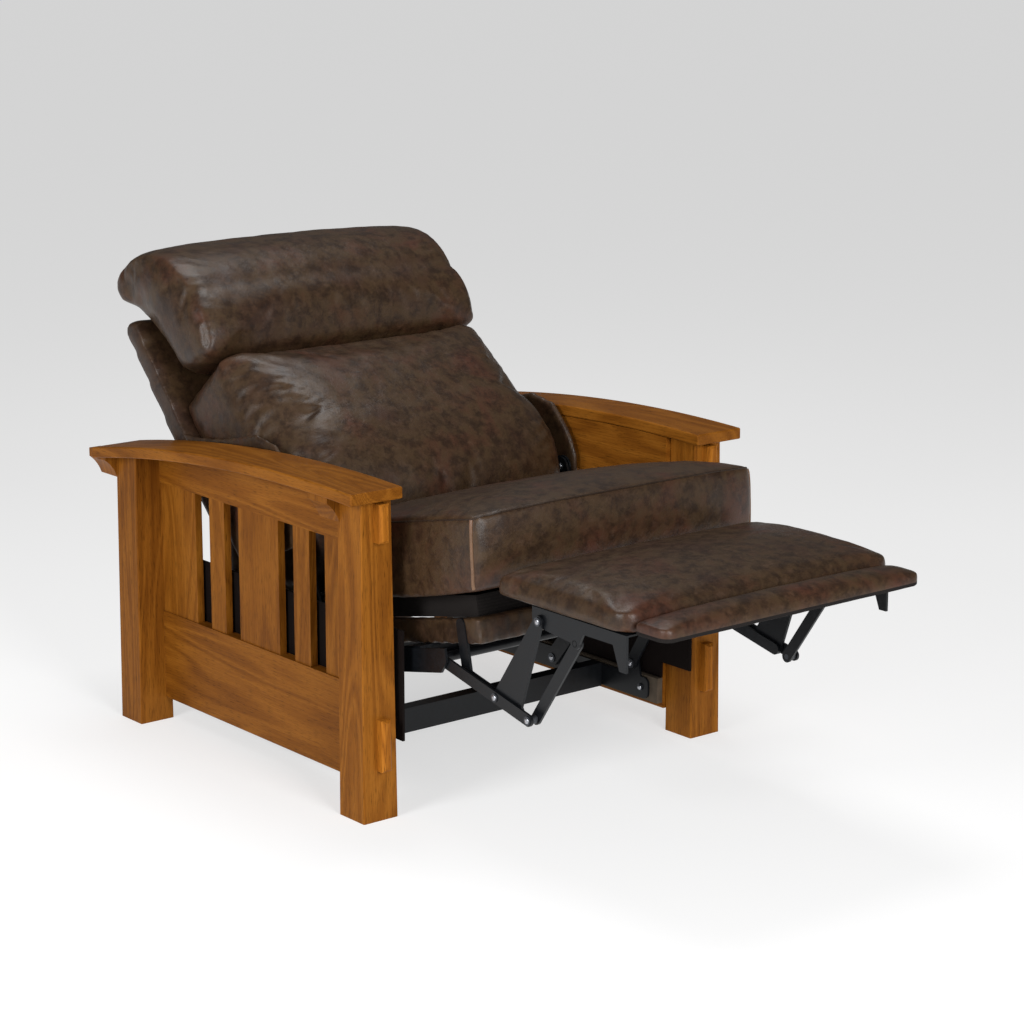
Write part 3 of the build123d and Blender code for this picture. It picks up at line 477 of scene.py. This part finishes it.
def makeArm(side, name):
    runY = arms["frontY"] - arms["rearY"]
    runZ = arms["frontZ"] - arms["rearZ"]
    chord = hypot(runY, runZ)
    radius = chord * chord / (8 * arms["bow"]) + arms["bow"] / 2
    midY = (arms["frontY"] + arms["rearY"]) / 2
    midZ = (arms["frontZ"] + arms["rearZ"]) / 2
    arm = emptyPiece(name)
    runTree(arm, armTree, {
        "Size": (arms["width"], -runY, arms["thick"]), "Steps": arms["steps"],
        "Centre": (side * (arms["inner"] + arms["width"] / 2), midY, -arms["thick"] / 2),
        "Bow Y": midY - (radius - arms["bow"]) * runZ / chord,
        "Bow Z": midZ + (radius - arms["bow"]) * runY / chord,
        "Bow Radius": radius,
        "Material": oakFinish(f"oak_{name}", "Y", (0.5 + side * 0.3, 1.9, 0.4), arms["tone"])})
    ease = arm.modifiers.new("ease", "BEVEL")
    ease.width = arms["ease"]
    ease.segments = arms["easeSegments"]
    ease.limit_method = "ANGLE"
    ease.angle_limit = arms["easeAngle"]
    ease.harden_normals = True
    applyModifiers(arm)
    return arm


for side, name, node in ((1, "armBoardLeft", "arm_left"), (-1, "armBoardRight", "arm_right")):
    arm = makeArm(side, name)
    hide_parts(node)
    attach(arm, "side_frames")
print("stage: arms made")


# Soft pieces: a copy of the solid, softened and blown up like a cushion, with its seams held
mergeDistance = 0.00001
fabric = {"quality": 4, "mass": 0.4, "stiff": 10, "shear": 5, "bend": 1.5, "steps": 20}
unevenness = {"grain": 0.06, "fine": 0.4, "fineShare": 0.5}


def copyOf(name, *nodes):
    bm = bmesh.new()
    for node in nodes:
        bm.from_mesh(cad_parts[node].data)
    bmesh.ops.remove_doubles(bm, verts=bm.verts, dist=mergeDistance)
    return makeObject(name, bm, blackSteel)


def pointsOf(piece):
    flat = np.empty(3 * len(piece.data.vertices))
    piece.data.vertices.foreach_get("co", flat)
    return flat.reshape(-1, 3)


def setPoints(piece, points):
    piece.data.vertices.foreach_set("co", points.astype(float).ravel())
    piece.data.update()


def toSeat(points):
    a = seatFrame["pitch"]
    y = points[:, 1] - seatFrame["frontY"]
    z = points[:, 2] - seatFrame["frontZ"]
    return np.column_stack((points[:, 0], y * cos(a) - z * sin(a), y * sin(a) + z * cos(a)))


def toBack(points):
    a = backFrame["rise"]
    hinge = seatPoint(0, backFrame["u"], backFrame["v"])
    y = points[:, 1] - hinge.y
    z = points[:, 2] - hinge.z
    return np.column_stack((points[:, 0], y * cos(a) + z * sin(a), -y * sin(a) + z * cos(a)))


def fromBack(local):
    a = backFrame["rise"]
    hinge = seatPoint(0, backFrame["u"], backFrame["v"])
    return np.column_stack((local[:, 0], hinge.y + local[:, 1] * cos(a) - local[:, 2] * sin(a),
                            hinge.z + local[:, 1] * sin(a) + local[:, 2] * cos(a)))


def rolledEnds(points, half, roll):
    # The section shrinks towards the piece's ends, which makes them round
    local = toBack(points)
    share = np.clip((np.abs(local[:, 0]) / half - roll["start"]) / (1 - roll["start"]), 0, 1) ** 2
    for axis, middle, shrink in zip((1, 2), roll["middle"], roll["shrink"]):
        local[:, axis] = middle + (local[:, axis] - middle) * (1 - shrink * share)
    return fromBack(local)


def soften(piece, rounds):
    smooth = piece.modifiers.new("smooth", "SMOOTH")
    smooth.iterations = rounds
    applyModifiers(piece)


def remesh(piece, voxel):
    grid = piece.modifiers.new("grid", "REMESH")
    grid.mode = "VOXEL"
    grid.voxel_size = voxel
    applyModifiers(piece)


def nearLines(points, lines, inner, outer):
    # 1 on the seam lines, falling to 0 away from them
    best = np.full(len(points), np.inf)
    for first, second in lines:
        start = np.array(first)
        way = np.array(second) - start
        share = np.clip((points - start) @ way / (way @ way), 0, 1)
        best = np.minimum(best, np.linalg.norm(points - start - share[:, None] * way, axis=1))
    return np.clip((outer - best) / (outer - inner), 0, 1)


def inflate(piece, settings, held):
    rest = pointsOf(piece)
    group = piece.vertex_groups.new(name="held")
    for index, weight in enumerate(held(rest)):
        if weight > 0:
            group.add([index], float(weight), "REPLACE")
    cloth = piece.modifiers.new("cloth", "CLOTH")
    cloth.settings.quality = fabric["quality"]
    cloth.settings.mass = fabric["mass"]
    cloth.settings.tension_stiffness = fabric["stiff"]
    cloth.settings.compression_stiffness = fabric["stiff"]
    cloth.settings.shear_stiffness = fabric["shear"]
    cloth.settings.bending_stiffness = fabric["bend"]
    cloth.settings.use_pressure = True
    cloth.settings.uniform_pressure_force = settings["pressure"]
    cloth.settings.shrink_min = -settings["slack"]
    cloth.settings.effector_weights.gravity = 0
    cloth.collision_settings.use_collision = False
    cloth.collision_settings.use_self_collision = False
    cloth.settings.vertex_group_mass = "held"
    cloth.settings.pin_stiffness = 1
    scene = bpy.context.scene
    for step in range(1, fabric["steps"] + 1):
        scene.frame_set(step)
    graph = bpy.context.evaluated_depsgraph_get()
    flat = np.empty(3 * len(rest))
    piece.evaluated_get(graph).data.vertices.foreach_get("co", flat)
    piece.modifiers.clear()
    scene.frame_set(1)
    # No point moves further than the piece's reach
    way = flat.reshape(-1, 3) - rest
    length = np.linalg.norm(way, axis=1, keepdims=True) + 1e-9
    reach = settings["reach"]
    setPoints(piece, rest + way * reach * (1 - np.exp(-length / reach)) / length)
    piece.vertex_groups.clear()


def finish(piece, material, height):
    finer = piece.modifiers.new("finer", "SUBSURF")
    finer.levels = 1
    finer.render_levels = 1
    applyModifiers(piece)
    points = pointsOf(piece)
    normals = np.empty(3 * len(points))
    piece.data.vertices.foreach_get("normal", normals)
    grain = unevenness["grain"]
    fine = unevenness["fine"] * grain
    lift = np.array([noise.noise(Vector(point) / grain)
                     + unevenness["fineShare"] * noise.noise(Vector(point) / fine) for point in points])
    setPoints(piece, points + normals.reshape(-1, 3) * (height * lift)[:, None])
    piece.data.materials.clear()
    piece.data.materials.append(material)
    piece.data.polygons.foreach_set("use_smooth", [True] * len(piece.data.polygons))


def dressPad(piece, body, nodes):
    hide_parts(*nodes)
    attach(piece, body)


def makeSoft(name, nodes, settings, held, material, body, shape=None, roll=None, gather=None):
    piece = copyOf(name, *nodes)
    if shape is not None:
        setPoints(piece, shape(pointsOf(piece)))
    remesh(piece, settings["voxel"])
    if roll is not None:
        setPoints(piece, rolledEnds(pointsOf(piece), settings["half"], roll))
    soften(piece, settings["soften"])
    inflate(piece, settings, held)
    if gather is not None:
        setPoints(piece, gather(pointsOf(piece)))
    finish(piece, material, settings["uneven"])
    dressPad(piece, body, nodes)
    print(f"stage: {name} made, {len(piece.data.polygons)} faces")
    return piece


# How full the cushions are across their width, from 1 in the middle to 0 at the sides
fullness = {"places": (0, 0.3, 0.6, 0.82, 0.95, 1), "levels": (1, 0.97, 0.85, 0.66, 0.35, 0)}


def crossFull(x, half):
    return float(np.interp(abs(x) / half, fullness["places"], fullness["levels"]))


# Seat cushion
seatPad = {"half": 0.335, "voxel": 0.0075, "soften": 3, "pressure": 3, "reach": 0.016, "slack": 0.0,
           "uneven": 0.0009, "seam": (0.006, 0.022), "fill": 0.75}
seatEdge = {"frontLow": (-0.043, 0.100), "frontHigh": (-0.063, 0.229), "rearHigh": (0.389, 0.229),
            "rearLow": (0.389, 0.098), "lowSpread": -0.008, "highSpread": (-0.027, 0.008),
            "rearRise": 0.014, "stations": (-1, -0.95, -0.8, -0.6, -0.3, 0, 0.3, 0.6, 0.8, 0.95, 1)}


def seatSeams():
    # Four rows across the cushion, joined by the seams of its two ends
    fronts = []
    lows = []
    rears = []
    rearLows = []
    for station in seatEdge["stations"]:
        x = seatPad["half"] * station
        full = crossFull(x, seatPad["half"])
        fronts.append((x, seatEdge["frontHigh"][0] + seatEdge["highSpread"][0] * full,
                       seatEdge["frontHigh"][1] + seatEdge["highSpread"][1] * full))
        lows.append((x, seatEdge["frontLow"][0] + seatEdge["lowSpread"] * full, seatEdge["frontLow"][1]))
        rears.append((x, seatEdge["rearHigh"][0], seatEdge["rearHigh"][1] + seatEdge["rearRise"] * full))
        rearLows.append((x, *seatEdge["rearLow"]))
    lines = []
    for row in (fronts, lows, rears, rearLows):
        lines += list(zip(row, row[1:]))
    for end in (0, -1):
        lines += [(fronts[end], lows[end]), (fronts[end], rears[end]), (lows[end], rearLows[end])]
    return fronts, rears, lines


seatLeather = leatherFinish("seatLeather", (0.4, 0.1, 0.7))
seatFronts, seatRears, seatLines = seatSeams()
seatCushion = makeSoft("seatCushion", ["seat_cushion"], seatPad,
                       lambda rest: nearLines(toSeat(rest), seatLines, *seatPad["seam"]),
                       seatLeather, "seat")


# Back cushion
backPad = {"half": 0.318, "voxel": 0.0075, "soften": 26, "pressure": 3, "reach": 0.014, "slack": 0.02,
           "uneven": 0.0011, "seam": (0.004, 0.016), "hold": 0.5, "fill": 0.7}
backOutline = ((0.377, -0.026), (0.285, 0.008), (0.175, 0.036), (0.090, 0.054), (0.020, 0.036),
               (-0.020, 0.002), (-0.094, -0.059), (-0.102, -0.120), (-0.060, -0.217), (0.377, -0.217))


def endLoops(outline, half):
    lines = []
    for x in (-half, half):
        ring = [(x, u, v) for u, v in outline]
        lines += list(zip(ring, ring[1:] + ring[:1]))
    return lines


drawShape = {"drift": (9, 14, 3), "slant": 0.45, "swing": 9, "least": 0.6}


def drawnEnds(points, half, draws):
    # Short creases where the leather is drawn in towards the side seams
    local = toBack(points)
    reach = draws["reach"]
    share = np.clip((np.abs(local[:, 0]) - half + reach) / reach, 0, 1) * (local[:, 2] > draws["low"])
    drift = np.array([noise.noise(Vector(spot)) for spot in local * drawShape["drift"]])
    across = local[:, 1] - drawShape["slant"] * np.abs(local[:, 0])
    wave = np.sin(2 * np.pi * across / draws["pitch"] + drawShape["swing"] * drift)
    lift = draws["depth"] * share * (1 - share) * 4 * wave * (drawShape["least"] + drift)
    turn = backFrame["rise"]
    return points + lift[:, None] * np.array((0, -sin(turn), cos(turn)))


backLeather = leatherFinish("backLeather", (1.4, 0.6, 0.2))
backLines = endLoops(backOutline, backPad["half"])
backDraws = {"reach": 0.110, "low": -0.120, "pitch": 0.034, "depth": 0.0014}
backRoll = {"start": 0.80, "middle": (0.15, -0.200), "shrink": (0.02, 0.11)}
makeSoft("backCushion", ["back_cushion"], backPad,
         lambda rest: backPad["hold"] * nearLines(toBack(rest), backLines, *backPad["seam"]),
         backLeather, "back", roll=backRoll,
         gather=lambda points: drawnEnds(points, backPad["half"], backDraws))


# Headrest bolster
bolsterPad = {"half": 0.336, "voxel": 0.0075, "soften": 14, "pressure": 3, "reach": 0.014, "slack": 0.02,
              "uneven": 0.0011, "seam": (0.004, 0.014), "hold": 0.5, "fill": 0.8}
bolsterOutline = ((0.386, -0.045), (0.440, -0.020), (0.519, -0.029), (0.640, -0.075), (0.697, -0.205),
                  (0.690, -0.245), (0.655, -0.250), (0.618, -0.217), (0.440, -0.217), (0.400, -0.095))
bolsterDraws = {"reach": 0.090, "low": -0.240, "pitch": 0.030, "depth": 0.0007}
bolsterRoll = {"start": 0.86, "middle": (0.55, -0.140), "shrink": (0.03, 0.04)}
bolsterLeather = leatherFinish("bolsterLeather", (0.2, 1.6, 1.2))
bolsterLines = endLoops(bolsterOutline, bolsterPad["half"])
makeSoft("headrestBolster", ["headrest_bolster"], bolsterPad,
         lambda rest: bolsterPad["hold"] * nearLines(toBack(rest), bolsterLines, *bolsterPad["seam"]),
         bolsterLeather, "back", roll=bolsterRoll,
         gather=lambda points: drawnEnds(points, bolsterPad["half"], bolsterDraws))


# Footrest pads: the leather wraps the board under each
footPad = {"half": 0.320, "voxel": 0.006, "soften": 24, "pressure": 1.5, "reach": 0.003, "slack": 0.0,
           "uneven": 0.0007, "low": 0.0, "foam": 0.015, "high": 0.065, "held": 0.008, "lining": 0.004,
           "liningEdge": 0.002, "fill": 0.8}
flipPad = {"half": 0.303, "voxel": 0.0045, "soften": 2, "pressure": 2.5, "reach": 0.004, "slack": 0.0,
           "uneven": 0.0005, "low": 0.002, "foam": 0.014, "high": 0.040, "held": 0.006, "lining": 0.006,
           "liningEdge": 0.011, "fill": 0.8}
wrapping = {"fade": 0.004, "downward": -0.8}
footLeather = leatherFinish("footLeather", (0.8, 0.3, 1.9))


def wrapBoard(pad):
    # Stretches the foam down to the underside of its board
    def shape(points):
        up = points[:, 2] - padFrame["lowZ"]
        share = (up - pad["foam"]) / (pad["high"] - pad["foam"])
        points[:, 2] = padFrame["lowZ"] + pad["low"] + share * (pad["high"] - pad["low"])
        return points
    return shape


def holdBelow(pad):
    def held(rest):
        up = rest[:, 2] - padFrame["lowZ"] - pad["low"]
        return np.clip((pad["held"] - up) / wrapping["fade"], 0, 1)
    return held


footCushion = makeSoft("footrestPad", ["footrest_pad"], footPad, holdBelow(footPad), footLeather,
                       "footrest", wrapBoard(footPad))
flipCushion = makeSoft("flipperPad", ["flipper_pad"], flipPad, holdBelow(flipPad), footLeather,
                       "flipper", wrapBoard(flipPad))
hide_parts("footrest_board")
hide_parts("flipper_board")


def lineUnder(piece, pad):
    # Black lining on the underside and on the lowest stretch of the edge
    piece.data.materials.append(darkCloth)
    level = padFrame["lowZ"] + pad["lining"]
    edge = padFrame["lowZ"] + pad["liningEdge"]
    for face in piece.data.polygons:
        height = face.center.z
        if height < edge or (face.normal.z < wrapping["downward"] and height < level):
            face.material_index = 1


lineUnder(footCushion, footPad)
lineUnder(flipCushion, flipPad)


# Leather-covered rails, board and cheeks
railPad = {"voxel": 0.006, "soften": 2, "pressure": 2, "reach": 0.0035, "slack": 0.03, "uneven": 0.0012,
           "fill": 0.5}
boardPad = {"voxel": 0.008, "soften": 2, "pressure": 2, "reach": 0.004, "slack": 0.0, "uneven": 0.0008,
            "fill": 0.5}
cheekPad = {"voxel": 0.005, "soften": 2, "pressure": 2, "reach": 0.001, "slack": 0.0, "uneven": 0.0005,
            "fill": 0.5}
coverLeather = leatherFinish("coverLeather", (1.1, 1.2, 0.1), 0.95)


def holdNothing(rest):
    return np.zeros(len(rest))


gathers = {"pitch": 0.027, "depth": 0.0016, "front": 0.004, "drift": 2.1, "driftTurns": 17}


def gatherFront(points):
    # The leather over the front rail is drawn in by upright gathers
    seat = toSeat(points)
    share = np.clip((gathers["front"] - seat[:, 1]) / gathers["front"], 0, 1)
    drift = gathers["drift"] * np.sin(gathers["driftTurns"] * seat[:, 0])
    wave = np.sin(2 * np.pi * seat[:, 0] / gathers["pitch"] + drift)
    points[:, 1] -= gathers["depth"] * share * wave
    return points


makeSoft("seatBoxCover", ["seat_box_front", "seat_box_rear", "seat_box_sides"], railPad, holdNothing,
         coverLeather, "seat", gather=gatherFront)
boardCover = makeSoft("backBoardCover", ["back_board"], boardPad, holdNothing, coverLeather, "back")
for side in ("left", "right"):
    makeSoft(f"backCheek{side.capitalize()}", [f"back_cheek_{side}"], cheekPad, holdNothing,
             coverLeather, "back")


# Welts: a thin cord of leather sewn in along a seam, laid on the finished piece
welts = {"radius": 0.0017, "corner": 0.0034, "spacing": 0.006, "sides": 8, "rise": 0.0004}


def weltMaker():
    tree, sockets, result = startTree("welt", {"Radius": "Float", "Spacing": "Float", "Sides": "Int",
                                               "Material": "Material"})
    path = geoNode(tree, "GeometryNodeMeshToCurve", None, {0: sockets["Geometry"]})
    even = geoNode(tree, "GeometryNodeResampleCurve", {"mode": "LENGTH"},
                   {"Curve": path.outputs[0], "Length": sockets["Spacing"]})
    ring = geoNode(tree, "GeometryNodeCurvePrimitiveCircle", None,
                   {"Resolution": sockets["Sides"], "Radius": sockets["Radius"]})
    tube = geoNode(tree, "GeometryNodeCurveToMesh", None,
                   {"Curve": even.outputs[0], "Profile Curve": ring.outputs[0], "Fill Caps": True})
    soft = geoNode(tree, "GeometryNodeSetShadeSmooth", None, {0: tube.outputs[0]})
    endTree(tree, soft.outputs[0], sockets, result)
    return tree


weltTree = weltMaker()
# Dark leather for the seam cords, painted shade in the seams
seamShadeLeather = leatherFinish("seamShadeLeather", (0.5, 0.5, 0.5), 0.4)
# Pale leather for the seat's front corner cords, a painted highlight on the rolled corners
cornerHighlightLeather = leatherFinish("cornerHighlightLeather", (0.3, 0.9, 0.6), 2.2)


def makeWelt(name, piece, corners, body, material, radius=welts["radius"]):
    # The path's points are put on the surface of the piece that it edges
    fine = []
    for first, second in zip(corners, corners[1:]):
        count = max(1, int((second - first).length / welts["spacing"]))
        fine += [first.lerp(second, k / count) for k in range(count)]
    fine.append(corners[-1])
    bm = bmesh.new()
    bm.from_mesh(piece.data)
    skin = BVHTree.FromBMesh(bm)
    bm.free()
    points = []
    for point in fine:
        spot, normal, _, _ = skin.find_nearest(point)
        points.append(spot + normal * welts["rise"])
    welt = emptyPiece(name, points, [(k, k + 1) for k in range(len(points) - 1)])
    runTree(welt, weltTree, {"Radius": radius, "Spacing": welts["spacing"], "Sides": welts["sides"],
                             "Material": material})
    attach(welt, body)


seatRim = seatFronts + seatRears[::-1] + seatFronts[:1]
# The top seam's cord is dark, painted shade in the seam
makeWelt("seatTopWelt", seatCushion, [seatPoint(*spot) for spot in seatRim], "seat", seamShadeLeather)
# The front corners get a cord of pale leather, painted highlight along each corner
for name, side in (("seatCornerRight", -1), ("seatCornerLeft", 1)):
    corners = [seatPoint(side * seatPad["half"], *seatEdge[end]) for end in ("frontHigh", "frontLow")]
    makeWelt(name, seatCushion, corners, "seat", cornerHighlightLeather, welts["corner"])

boardRim = {"half": 0.338, "low": -0.030, "high": 0.590, "rear": -0.263}
rimCorners = [(-1, "low"), (-1, "high"), (1, "high"), (1, "low"), (-1, "low")]
boardCorners = [backPoint(side * boardRim["half"], boardRim[end], boardRim["rear"])
                for side, end in rimCorners]
# The back board's seam cord is dark too, painted shade in the seam
makeWelt("backBoardWelt", boardCover, boardCorners, "back", seamShadeLeather)
print("stage: welts made")


# Side panels: thin near-black sheets on the inside of the rails, painted shade for the dark inside of the
# frame seen between the slats, up to the height of the seat plates, each with a toe that reaches forward
# along the front post
panels = {"inner": 0.351, "thick": 0.005, "front": -0.096, "rear": 0.595, "low": 0.112, "high": 0.352,
          "toeFront": -0.180, "toeLow": 0.144, "wave": 0.0006, "waveScale": 9.0, "cells": 40, "rows": 16}


def panelMaker():
    tree, sockets, result = startTree("panel", {
        "Size": "Vector", "Centre": "Vector", "Toe Size": "Vector", "Toe Centre": "Vector", "Cells": "Int",
        "Rows": "Int", "Wave": "Float", "Wave Scale": "Float", "Seed": "Float", "Material": "Material"})
    board = geoNode(tree, "GeometryNodeMeshCube", None, {
        "Size": sockets["Size"], "Vertices Y": sockets["Cells"], "Vertices Z": sockets["Rows"]})
    laid = geoNode(tree, "GeometryNodeSetPosition", None,
                   {0: board.outputs[0], "Offset": sockets["Centre"]})
    toe = geoNode(tree, "GeometryNodeMeshCube", None, {"Size": sockets["Toe Size"]})
    toeLaid = geoNode(tree, "GeometryNodeSetPosition", None,
                      {0: toe.outputs[0], "Offset": sockets["Toe Centre"]})
    both = geoNode(tree, "GeometryNodeJoinGeometry")
    tree.links.new(laid.outputs[0], both.inputs[0])
    tree.links.new(toeLaid.outputs[0], both.inputs[0])
    spot = geoNode(tree, "GeometryNodeInputPosition").outputs[0]
    folds = geoNode(tree, "ShaderNodeTexNoise", {"noise_dimensions": "4D"},
                    {"Vector": spot, "W": sockets["Seed"], "Scale": sockets["Wave Scale"], "Detail": 1.0})
    swell = geoMath(tree, "MULTIPLY", geoMath(tree, "SUBTRACT", folds.outputs[0], 0.5), sockets["Wave"])
    push = geoNode(tree, "ShaderNodeCombineXYZ", None, {"X": swell})
    waved = geoNode(tree, "GeometryNodeSetPosition", None, {0: both.outputs[0], "Offset": push.outputs[0]})
    endTree(tree, waved.outputs[0], sockets, result)
    return tree


def boxOf(side, front, rear, low, high):
    middle = side * (panels["inner"] + panels["thick"] / 2)
    return (panels["thick"], rear - front, high - low), (middle, (front + rear) / 2, (low + high) / 2)


panelTree = panelMaker()
for name, side in (("sideShadeRight", -1), ("sideShadeLeft", 1)):
    board = emptyPiece(name)
    size, centre = boxOf(side, panels["front"], panels["rear"], panels["low"], panels["high"])
    toeSize, toeCentre = boxOf(side, panels["toeFront"], panels["front"], panels["toeLow"], panels["high"])
    runTree(board, panelTree, {
        "Size": size, "Centre": centre, "Toe Size": toeSize, "Toe Centre": toeCentre,
        "Cells": panels["cells"], "Rows": panels["rows"], "Wave": panels["wave"],
        "Wave Scale": panels["waveScale"], "Seed": 3.0 + side, "Material": panelShade})
    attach(board, "side_frames")
print("stage: side panels made")


# Rivet heads: a dome on every stud and bolt head
rivets = {"dome": 0.0055, "rise": 0.0022, "widest": 0.0065, "segments": 18, "rings": 10, "flat": 0.0001}
rivetRows = (
    ("baseRivets", "base_pivot_studs", "side_frames"),
    ("boltDomes", "frame_bolts", "side_frames"),
    ("seatRivets", "seat_pivot_studs", "seat"),
    ("driveRivets", "drive_link_studs", "footrest_drive"),
    ("padRivets", "pad_bracket_studs", "footrest"),
)


def rivetMaker():
    tree, sockets, result = startTree("rivets", {
        "Dome": "Float", "Rise": "Float", "Segments": "Int", "Rings": "Int", "Material": "Material"})
    ball = geoNode(tree, "GeometryNodeMeshUVSphere", None,
                   {"Segments": sockets["Segments"], "Rings": sockets["Rings"], "Radius": 1.0})
    size = geoNode(tree, "ShaderNodeCombineXYZ", None,
                   {"X": sockets["Rise"], "Y": sockets["Dome"], "Z": sockets["Dome"]})
    heads = geoNode(tree, "GeometryNodeInstanceOnPoints", None,
                    {"Points": sockets["Geometry"], "Instance": ball.outputs[0], "Scale": size.outputs[0]})
    real = geoNode(tree, "GeometryNodeRealizeInstances", None, {0: heads.outputs[0]})
    soft = geoNode(tree, "GeometryNodeSetShadeSmooth", None, {0: real.outputs[0]})
    endTree(tree, soft.outputs[0], sockets, result)
    return tree


rivetTree = rivetMaker()


def headPlaces(node):
    # The middle of each stud's wide end
    bm = bmesh.new()
    bm.from_mesh(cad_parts[node].data)
    bmesh.ops.remove_doubles(bm, verts=bm.verts, dist=mergeDistance)
    left = set(bm.verts)
    places = []
    while left:
        island = []
        queue = [left.pop()]
        while queue:
            vert = queue.pop()
            island.append(vert.co.copy())
            for edge in vert.link_edges:
                other = edge.other_vert(vert)
                if other in left:
                    left.remove(other)
                    queue.append(other)
        for x in (min(point.x for point in island), max(point.x for point in island)):
            rim = [point for point in island if abs(point.x - x) < rivets["flat"]]
            middle = sum(rim, Vector()) / len(rim)
            if max((point - middle).length for point in rim) > rivets["widest"]:
                places.append(middle)
    bm.free()
    return sorted(places, key=lambda place: tuple(round(part, 5) for part in place))


for name, node, body in rivetRows:
    heads = emptyPiece(name, headPlaces(node))
    runTree(heads, rivetTree, {
        "Dome": rivets["dome"], "Rise": rivets["rise"], "Segments": rivets["segments"],
        "Rings": rivets["rings"], "Material": bareSteel})
    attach(heads, body)
print("stage: rivets made")


# Floor, light and camera
room = {"floor": 400.0, "floorColour": (0.45, 0.45, 0.45), "rough": 0.9, "glow": 0.60, "world": 0.12,
        "aim": (0, 0, 0.5)}


def makeRoom():
    bm = bmesh.new()
    half = room["floor"] / 2
    corners = ((-half, -half, 0), (half, -half, 0), (half, half, 0), (-half, half, 0))
    bm.faces.new([bm.verts.new(corner) for corner in corners])
    material, tree, shader = startMaterial("paleFloor")
    shader.inputs["Base Color"].default_value = (*room["floorColour"], 1)
    shader.inputs["Roughness"].default_value = room["rough"]
    shader.inputs["Specular IOR Level"].default_value = 0.0
    shader.inputs["Emission Color"].default_value = (1, 1, 1, 1)
    shader.inputs["Emission Strength"].default_value = room["glow"]
    floor = makeObject("floor", bm, material, False)
    world = bpy.data.worlds.new("studio")
    bpy.context.scene.world = world
    world.use_nodes = True
    background = world.node_tree.nodes["Background"]
    background.inputs["Color"].default_value = (1, 1, 1, 1)
    background.inputs["Strength"].default_value = room["world"]


lamps = {
    "front": {"place": (-1.0, -4.8, 2.2), "size": 2.0, "power": 200},
    "side": {"place": (-4.4, -0.8, 2.0), "size": 1.6, "power": 125},
    "top": {"place": (0.3, 0.9, 3.6), "size": 1.4, "power": 45},
}


def makeLamp(name, settings):
    lamp = bpy.data.lights.new(name, "AREA")
    lamp.energy = settings["power"]
    lamp.size = settings["size"]
    obj = bpy.data.objects.new(name, lamp)
    obj.location = settings["place"]
    aim = Vector(room["aim"]) - Vector(settings["place"])
    obj.rotation_euler = aim.to_track_quat("-Z", "Y").to_euler()
    bpy.context.scene.collection.objects.link(obj)


view = {"place": (-3.1835, -3.9993, 1.6994), "turn": -38.91, "down": 13.34, "focal": 2733.6, "frame": 1024,
        "sensor": 36.0}


def makeCamera():
    camera = bpy.data.cameras.new("camera")
    camera.sensor_width = view["sensor"]
    camera.lens = view["focal"] / view["frame"] * view["sensor"]
    obj = bpy.data.objects.new("camera", camera)
    obj.location = view["place"]
    obj.rotation_euler = Euler((radians(90 - view["down"]), 0, radians(view["turn"])))
    bpy.context.scene.collection.objects.link(obj)
    bpy.context.scene.camera = obj


makeRoom()
for name, settings in lamps.items():
    makeLamp(name, settings)
makeCamera()
bpy.context.scene.view_settings.view_transform = "Standard"
print("stage: room, lamps and camera made")
